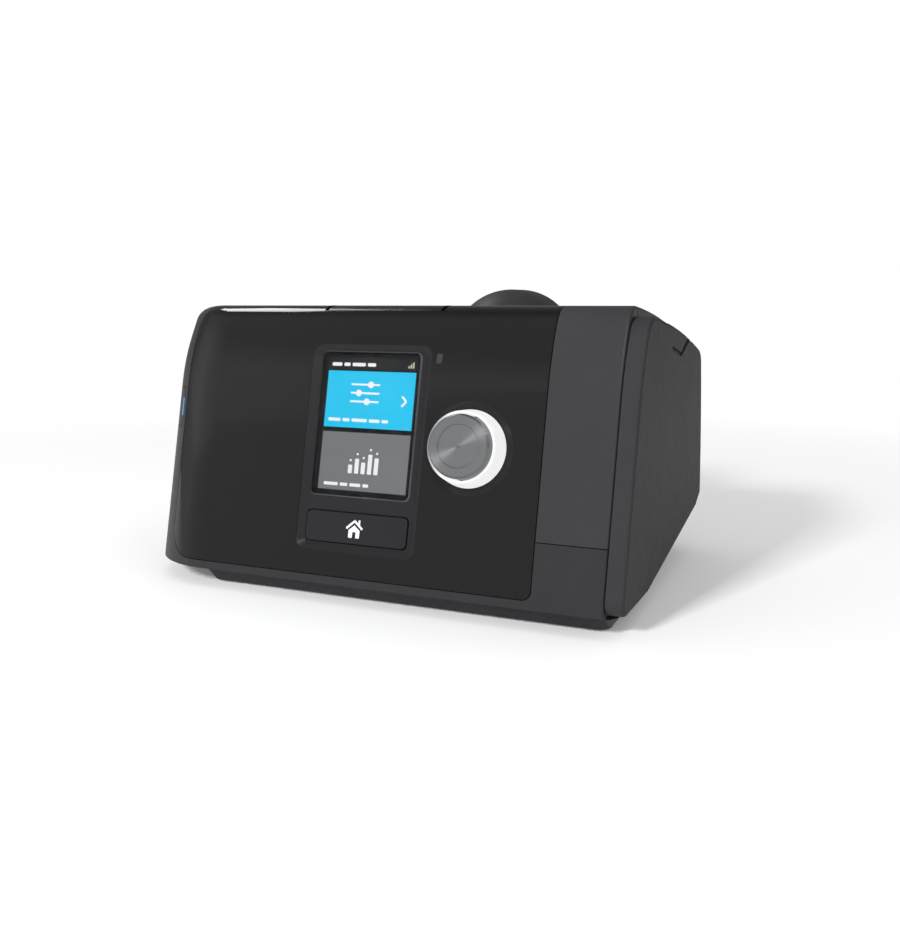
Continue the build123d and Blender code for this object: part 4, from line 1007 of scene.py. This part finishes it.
@dataclass
class Picture(Assembly):
    """Lit picture behind the window: a status bar and two tiles with plain signs on them."""

    centre_x: float = 0.5
    depth: float = 3.4
    width: float = 36.7
    bar_high: float = 90.3
    bar_low: float = 85.7
    bar_gap: float = 0.2
    blue_low: float = 64.7
    grey_low: float = 41.8
    tile_gap: float = 1.7
    tile_thick: float = 0.04
    mark_thick: float = 0.03
    knob_thick: float = 0.05
    black: Finish = Pixels(shade(20, 20, 22))
    blue: Finish = Pixels(shade(16, 204, 251))
    grey: Finish = Pixels(shade(120, 121, 124))
    white: Finish = Pixels(shade(250, 251, 253))
    cream: Finish = Pixels(shade(205, 198, 176))
    status_row: DashRow = DashRow(-17.0, 87.9, (4.2, 2.6, 5.6, 3.4), 1.3)
    blue_row: DashRow = DashRow(-16.6, 67.5, (5.2, 3.0, 6.4, 4.4, 2.6))
    grey_row: DashRow = DashRow(-16.0, 43.9, (6.0, 3.2, 4.6, 2.4))
    level_at: Pair = (15.2, 87.0)
    level_heights: Sequence[float] = (0.8, 1.5, 2.2)
    level_width: float = 0.6
    level_pitch: float = 0.9
    slider_at: Pair = (-2.0, 77.5)
    slider_half: float = 6.0
    slider_line: float = 0.7
    slider_pitch: float = 3.2
    slider_knobs: Sequence[float] = (2.2, -2.6, 1.0)
    knob_radius: float = 1.25
    pointer_at: Pair = (14.4, 75.0)
    pointer_half: Pair = (0.9, 1.9)
    pointer_line: float = 0.8
    chart_at: Pair = (0.0, 51.2)
    chart_foot: float = -3.2
    column_heights: Sequence[float] = (3.2, 5.6, 4.3, 7.4, 6.2)
    column_width: float = 1.7
    column_pitch: float = 2.7
    column_corner: float = 0.25
    dot_radius: float = 0.45
    dot_gap: float = 1.7

    def build(self) -> None:
        """Add the tiles and the signs on them."""
        white = self.white.make("motif_white_light")
        self.tile("picture_status_bar", self.bar_low + self.bar_gap, self.bar_high, self.black)
        self.tile("picture_blue_tile", self.blue_low, self.bar_low - self.bar_gap, self.blue)
        self.tile("picture_grey_tile", self.grey_low, self.blue_low - self.tile_gap, self.grey)
        status = Shape()
        self.dashes(status, self.status_row)
        status.finish("picture_status_dashes", Body.HOUSING, Slot.DISPLAY, white)
        self.level_mark()
        self.blue_motif(white)
        self.grey_motif(white)

    def mark_place(self, x: float, z: float) -> Matrix:
        """Find the placement on top of the tiles at a place of the picture."""
        return face_matrix(self.centre_x + x, z, self.depth - self.tile_thick)

    def tile(self, name: str, low: float, high: float, finish: Finish) -> None:
        """Add one lit rectangle over the width of the picture.

        Args:
            name: name of the piece.
            low: height of its lower edge.
            high: height of its upper edge.
            finish: its light.
        """
        place = face_matrix(self.centre_x, (low + high) / 2, self.depth)
        shape = Shape().plate(self.width, (high - low) / cos(FACE_LEAN), self.tile_thick, place)
        shape.finish(name, Body.HOUSING, Slot.DISPLAY, finish.make(name + "_light"))

    def dashes(self, shape: Shape, row: DashRow) -> None:
        """Add a row of rounded dashes.

        Args:
            shape: what takes the dashes.
            row: the row.
        """
        start = row.start
        for run in row.runs:
            place = self.mark_place(start + run / 2, row.height)
            shape.plate(run, row.tall, self.mark_thick, place, row.tall * 0.3, 2)
            start += run + row.gap

    def level_mark(self) -> None:
        """Add a small mark of rising steps to the status bar."""
        shape = Shape()
        x, z = self.level_at
        for column, tall in enumerate(self.level_heights):
            place = self.mark_place(x + column * self.level_pitch, z + tall / 2)
            shape.plate(self.level_width, tall, self.mark_thick, place)
        shape.finish("picture_level_mark", Body.HOUSING, Slot.DISPLAY,
                     self.cream.make("level_mark_light"))

    def blue_motif(self, white: bpy.types.Material) -> None:
        """Add sliders, a pointer to the right and a row of dashes to the blue tile.

        Args:
            white: light of the signs.
        """
        shape = Shape()
        place = self.mark_place(*self.slider_at)
        for row, knob in enumerate(self.slider_knobs):
            y = (1 - row) * self.slider_pitch
            shape.bar((-self.slider_half, y), (self.slider_half, y), self.slider_line,
                      self.mark_thick, place)
            shape.disc(self.knob_radius, self.knob_thick, place @ shift(knob, y), 20)
        pointer = self.mark_place(*self.pointer_at)
        x, y = self.pointer_half
        shape.bar((-x, y), (x, 0.0), self.pointer_line, self.mark_thick, pointer)
        shape.bar((x, 0.0), (-x, -y), self.pointer_line, self.mark_thick, pointer)
        self.dashes(shape, self.blue_row)
        shape.finish("picture_blue_motif", Body.HOUSING, Slot.DISPLAY, white)

    def grey_motif(self, white: bpy.types.Material) -> None:
        """Add a column chart, a dot over each column and a row of dashes to the grey tile.

        Args:
            white: light of the signs.
        """
        shape = Shape()
        place = self.mark_place(*self.chart_at)
        middle = (len(self.column_heights) - 1) / 2
        for column, tall in enumerate(self.column_heights):
            x = (column - middle) * self.column_pitch
            shape.plate(self.column_width, tall, self.mark_thick,
                        place @ shift(x, self.chart_foot + tall / 2), self.column_corner, 2)
            shape.disc(self.dot_radius, self.mark_thick,
                       place @ shift(x, self.chart_foot + tall + self.dot_gap), 12)
        self.dashes(shape, self.grey_row)
        shape.finish("picture_grey_motif", Body.HOUSING, Slot.DISPLAY, white)


@dataclass
class HomeKey(Assembly):
    """Home button with its house pictogram."""

    centre_x: float = 0.2
    centre_z: float = 28.0
    front_depth: float = 1.3
    print_thick: float = 0.05
    eaves: Pair = (3.3, 0.2)
    ridge: Pair = (0.15, 3.2)
    roof_line: float = 0.8
    chimney: Sequence[Pair] = ((1.5, 2.3), (2.3, 1.6), (2.3, 3.5), (1.5, 3.5))
    walls: Sequence[Pair] = ((-2.3, -3.2), (-0.7, -3.2), (-0.7, -1.0), (0.7, -1.0), (0.7, -3.2),
                             (2.3, -3.2), (2.3, -0.4), (0.0, 1.5), (-2.3, -0.4))
    button: Finish = Moulded(shade(33, 33, 36), 0.4, grain_mm=0.3, relief=0.12, gloss=0.2)
    ink: Finish = Lacquer(shade(236, 236, 236), 0.35)

    def build(self) -> None:
        """Dress the button and add the house: two roof slopes, a chimney and walls with a door."""
        dress(self.button.make("button_plastic"), "home_button")
        place = face_matrix(self.centre_x, self.centre_z, self.front_depth)
        shape = Shape()
        (reach, low), (over, high) = self.eaves, self.ridge
        shape.bar((-reach, low), (over, high), self.roof_line, self.print_thick, place)
        shape.bar((-over, high), (reach, low), self.roof_line, self.print_thick, place)
        shape.outline(self.chimney, self.print_thick, place)
        shape.outline(self.walls, self.print_thick, place)
        shape.finish("home_pictogram", Body.HOME_KEY, Slot.SURROUND_GREY,
                     self.ink.make("pictogram_white"))


@dataclass
class Dial(Assembly):
    """Turned dial with its light ring and the parts behind it."""

    centre_x: float = 43.0
    centre_z: float = 59.5
    metal: Colour = shade(134, 135, 137)
    guide: Colour = shade(108, 109, 111)
    steel: Finish = Metal(shade(160, 160, 162))
    plunger: Finish = Moulded(shade(225, 225, 220), 0.4)
    encoder: Finish = Moulded(shade(38, 38, 40), 0.45)

    def build(self) -> None:
        """Dress the dial."""
        centre = tuple(on_face(self.centre_x, self.centre_z))
        dress(SpunMetal(self.metal, centre).make("dial_metal"), "dial_cap")
        # the ring's emission is painted highlight, brighter on one side
        dress(Glow(self.guide, centre).make("ring_painted_light"), "light_ring")
        dress(self.steel.make("shaft_steel"), "dial_shaft")
        dress(self.plunger.make("plunger_plastic"), "encoder_plunger")
        dress(self.encoder.make("encoder_plastic"), "encoder")


@dataclass
class Tub(Assembly):
    """Water tub, its bay and the heater."""

    body: Finish = Clear(shade(214, 224, 232), 0.04)
    lid: Finish = Clear(shade(196, 206, 214), 0.08)
    seal: Finish = Rubber(shade(196, 198, 198), 0.5, translucent=0.2)
    plate: Finish = Metal(shade(200, 200, 202), 0.28)
    bay: Finish = Moulded(shade(64, 64, 66), 0.5)
    heater: Finish = Metal(shade(176, 176, 178), 0.36)
    carrier: Finish = Moulded(shade(90, 90, 92), 0.55)
    port: Finish = Rubber(shade(170, 172, 172), 0.5, translucent=0.2)

    def build(self) -> None:
        """Dress the tub, the bay and the heater."""
        dress(self.body.make("tub_clear_plastic"), "tub_body")
        dress(self.lid.make("lid_clear_plastic"), "tub_lid")
        dress(self.seal.make("tub_seal_silicone"), "tub_seal")
        dress(self.plate.make("tub_plate_metal"), "tub_plate")
        dress(self.bay.make("bay_plastic"), "bay_liner")
        dress(self.heater.make("heater_metal"), "heater_plate")
        dress(self.carrier.make("carrier_plastic"), "heater_carrier")
        dress(self.port.make("port_silicone"), "port_seals")


@dataclass
class AirPath(Assembly):
    """Outlet, inlet and blower."""

    connector: Finish = Moulded(shade(58, 58, 60), 0.35)
    duct: Finish = Rubber(shade(150, 152, 154), 0.5, translucent=0.15)
    pad: Finish = Fibre(shade(228, 229, 226), cell_mm=0.5)
    intake: Finish = Moulded(shade(74, 74, 76), 0.5)
    foam: Finish = Fibre(shade(66, 66, 68), cell_mm=1.1, relief=0.9)
    volute: Finish = Moulded(shade(206, 206, 202), 0.42)
    impeller: Finish = Moulded(shade(226, 226, 222), 0.35)
    shaft: Finish = Metal(shade(170, 170, 172))
    motor: Finish = Metal(shade(150, 150, 152), 0.34)
    mount: Finish = Rubber(shade(120, 122, 124), 0.6)
    bellows: Finish = Rubber(shade(140, 142, 144), 0.55)

    def build(self) -> None:
        """Dress the pieces that carry or move air."""
        dress(self.connector.make("connector_plastic"), "outlet_connector")
        dress(self.duct.make("duct_silicone"), "outlet_duct")
        dress(self.pad.make("filter_fibre"), "air_filter")
        dress(self.intake.make("intake_plastic"), "intake_box")
        dress(self.foam.make("muffler_foam"), "muffler_foam")
        dress(self.volute.make("volute_plastic"), "blower_base", "blower_cover")
        dress(self.impeller.make("impeller_plastic"), "impeller")
        dress(self.shaft.make("rotor_steel"), "rotor_shaft")
        dress(self.motor.make("motor_can_metal"), "motor")
        dress(self.mount.make("mount_silicone"), "blower_mount")
        dress(self.bellows.make("blower_duct_silicone"), "blower_duct")


@dataclass
class Electronics(Assembly):
    """Boards, switches and sockets, and the recesses that hold them."""

    board: Finish = Laminate()
    component: Finish = Moulded(shade(34, 34, 36), 0.4)
    recess: Finish = Moulded(shade(62, 62, 64), 0.5)
    card: Finish = Moulded(shade(44, 86, 150), 0.4)

    def build(self) -> None:
        """Dress the electronic pieces and what holds them."""
        dress(self.board.make("board_laminate"), "display_board", "start_board", "main_board")
        dress(self.component.make("component_plastic"), "home_switch", "start_switch",
              "board_components", "power_socket", "card_socket", "adapter_port")
        dress(self.recess.make("recess_plastic"), "front_carrier", "card_recess", "adapter_recess")
        dress(self.card.make("card_plastic"), "memory_card")


# ------------------------------------------------------------------ studio
@dataclass
class Camera(Assembly):
    """Camera at the viewing angle, in metres and degrees."""

    at: Triple = (0.17232, -0.37751, 0.10997)
    azimuth: float = 23.42
    down: float = 9.69
    focal_mm: float = 37.45
    reach: Pair = (0.01, 20.0)

    def build(self) -> None:
        """Make the camera."""
        data = bpy.data.cameras.new("camera")
        data.lens = self.focal_mm
        data.clip_start, data.clip_end = self.reach
        made = bpy.data.objects.new("camera", data)
        made.location = self.at
        made.rotation_euler = (radians(90.0 - self.down), 0.0, radians(self.azimuth))
        bpy.context.scene.collection.objects.link(made)
        bpy.context.scene.camera = made


@dataclass
class Floor(Assembly):
    """Matt white floor, which turns into the white of the background further out."""

    half_side: float = 6.0
    colour: Colour = (0.93, 0.93, 0.935)
    glow: float = 0.13
    fade: Pair = (0.22, 0.6)

    def build(self) -> None:
        """Make the floor."""
        mesh = bmesh.new()
        bmesh.ops.create_grid(mesh, x_segments=1, y_segments=1, size=self.half_side)
        data = bpy.data.meshes.new("floor")
        mesh.to_mesh(data)
        mesh.free()
        data.materials.append(self.white_paint())
        made = bpy.data.objects.new("floor", data)
        bpy.context.scene.collection.objects.link(made)

    def white_paint(self) -> bpy.types.Material:
        """Make a paint that is lifted to white where it is seen, but adds no light.

        Returns:
            The material.
        """
        paint = Paint("floor_paint")
        paint.set(Base_Color=tint(self.colour, 1.0), Roughness=0.5, Specular_IOR_Level=0.0,
                  Emission_Color=WHITE_LIGHT)
        path = paint.node("ShaderNodeLightPath")
        seen = path.outputs["Is Camera Ray"]
        for kind in ("Is Glossy Ray", "Is Transmission Ray"):
            seen = paint.combine(Arithmetic.ADD, seen, path.outputs[kind])
        paint.link(paint.spread(seen, 0.0, self.glow), paint.shader.inputs["Emission Strength"])
        radius = paint.node("ShaderNodeVectorMath", operation="LENGTH")
        paint.link(paint.place(), radius.inputs[0])
        far = paint.spread(radius.outputs["Value"], 0.0, 1.0, *self.fade)
        white = paint.node("ShaderNodeEmission")
        mixed = paint.node("ShaderNodeMixShader")
        paint.link(paint.combine(Arithmetic.MULTIPLY, far, seen), mixed.inputs["Fac"])
        paint.link(paint.shader.outputs[0], mixed.inputs[1])
        paint.link(white.outputs[0], mixed.inputs[2])
        paint.link(mixed.outputs[0], paint.output.inputs["Surface"])
        return paint.material


@dataclass
class Sky(Assembly):
    """Surround: white where it is seen, a plain fill for dull surfaces and bands for gloss."""

    front_fill: float = 0.38
    back_fill: float = 0.8
    fill_axis: Triple = (0.5, 0.85, 0.0)
    fill_edge: Pair = (-0.6, 0.6)
    low_glow: float = 0.82
    band_glow: float = 1.12
    band_axis: Triple = (-0.366, 0.0, 1.0)
    band_edge: Pair = (0.452, 0.472)
    top_glow: float = 0.72
    top_edge: Pair = (0.4, 0.6)
    back_glow: float = 0.22
    back_edge: Pair = (-0.35, 0.15)

    def build(self) -> None:
        """Make the surround."""
        sky = Surround("studio")
        path = sky.node("ShaderNodeLightPath")
        band = sky.blend(sky.toward(self.band_axis, self.band_edge), self.low_glow, self.band_glow)
        front = sky.blend(sky.toward(UP, self.top_edge), band, self.top_glow)
        glossy = sky.blend(sky.toward(BACK, self.back_edge), front, self.back_glow)
        seen = sky.blend(path.outputs["Is Glossy Ray"], 1.0, glossy)
        fill = sky.blend(sky.toward(self.fill_axis, self.fill_edge), self.front_fill,
                         self.back_fill)
        strength = sky.blend(path.outputs["Is Diffuse Ray"], seen, fill)
        sky.link(strength, sky.background.inputs["Strength"])
        sky.background.inputs["Color"].default_value = WHITE_LIGHT


@dataclass
class Lamp(Assembly):
    """Soft square area lamp that lights either the dull or the glossy part of surfaces."""

    name: str
    at: Triple
    aim: Triple
    size: float
    power: float
    share: Share

    def build(self) -> None:
        """Make the lamp."""
        data = bpy.data.lights.new(self.name, "AREA")
        data.size, data.energy = self.size, self.power
        made = bpy.data.objects.new(self.name, data)
        made.location = self.at
        beam = Vector(self.aim) - Vector(self.at)
        made.rotation_euler = beam.to_track_quat("-Z", "Y").to_euler()
        made.visible_diffuse = self.share is Share.DULL
        made.visible_glossy = self.share is Share.GLOSS
        bpy.context.scene.collection.objects.link(made)


STUDIO = (
    Camera(),
    Floor(),
    Sky(),
    Lamp("key", at=(-0.24, -1.09, 0.67), aim=(0.0, 0.0, 0.04), size=0.2, power=13.0,
         share=Share.DULL),
    Lamp("ridge", at=(-0.6, 0.32, 0.857), aim=(-0.05, -0.045, 0.107), size=0.28, power=2.2,
         share=Share.GLOSS),
    Lamp("glint", at=(0.45, -0.736, 0.83), aim=(0.043, -0.07, 0.06), size=0.2, power=6.0,
         share=Share.GLOSS),
)
MACHINE = (Casing(), ScreenGroup(), Picture(), HomeKey(), Dial(), Tub(), AirPath(), Electronics())


def main() -> None:
    """Build every sub-assembly and the studio in order."""
    logging.basicConfig(level=logging.INFO, format="%(message)s")
    bpy.context.scene.view_settings.view_transform = "Standard"
    for assembly in MACHINE + STUDIO:
        LOG.info("building %s", type(assembly).__name__)
        assembly.build()
    bpy.context.view_layer.update()


if __name__ == "__main__":
    main()
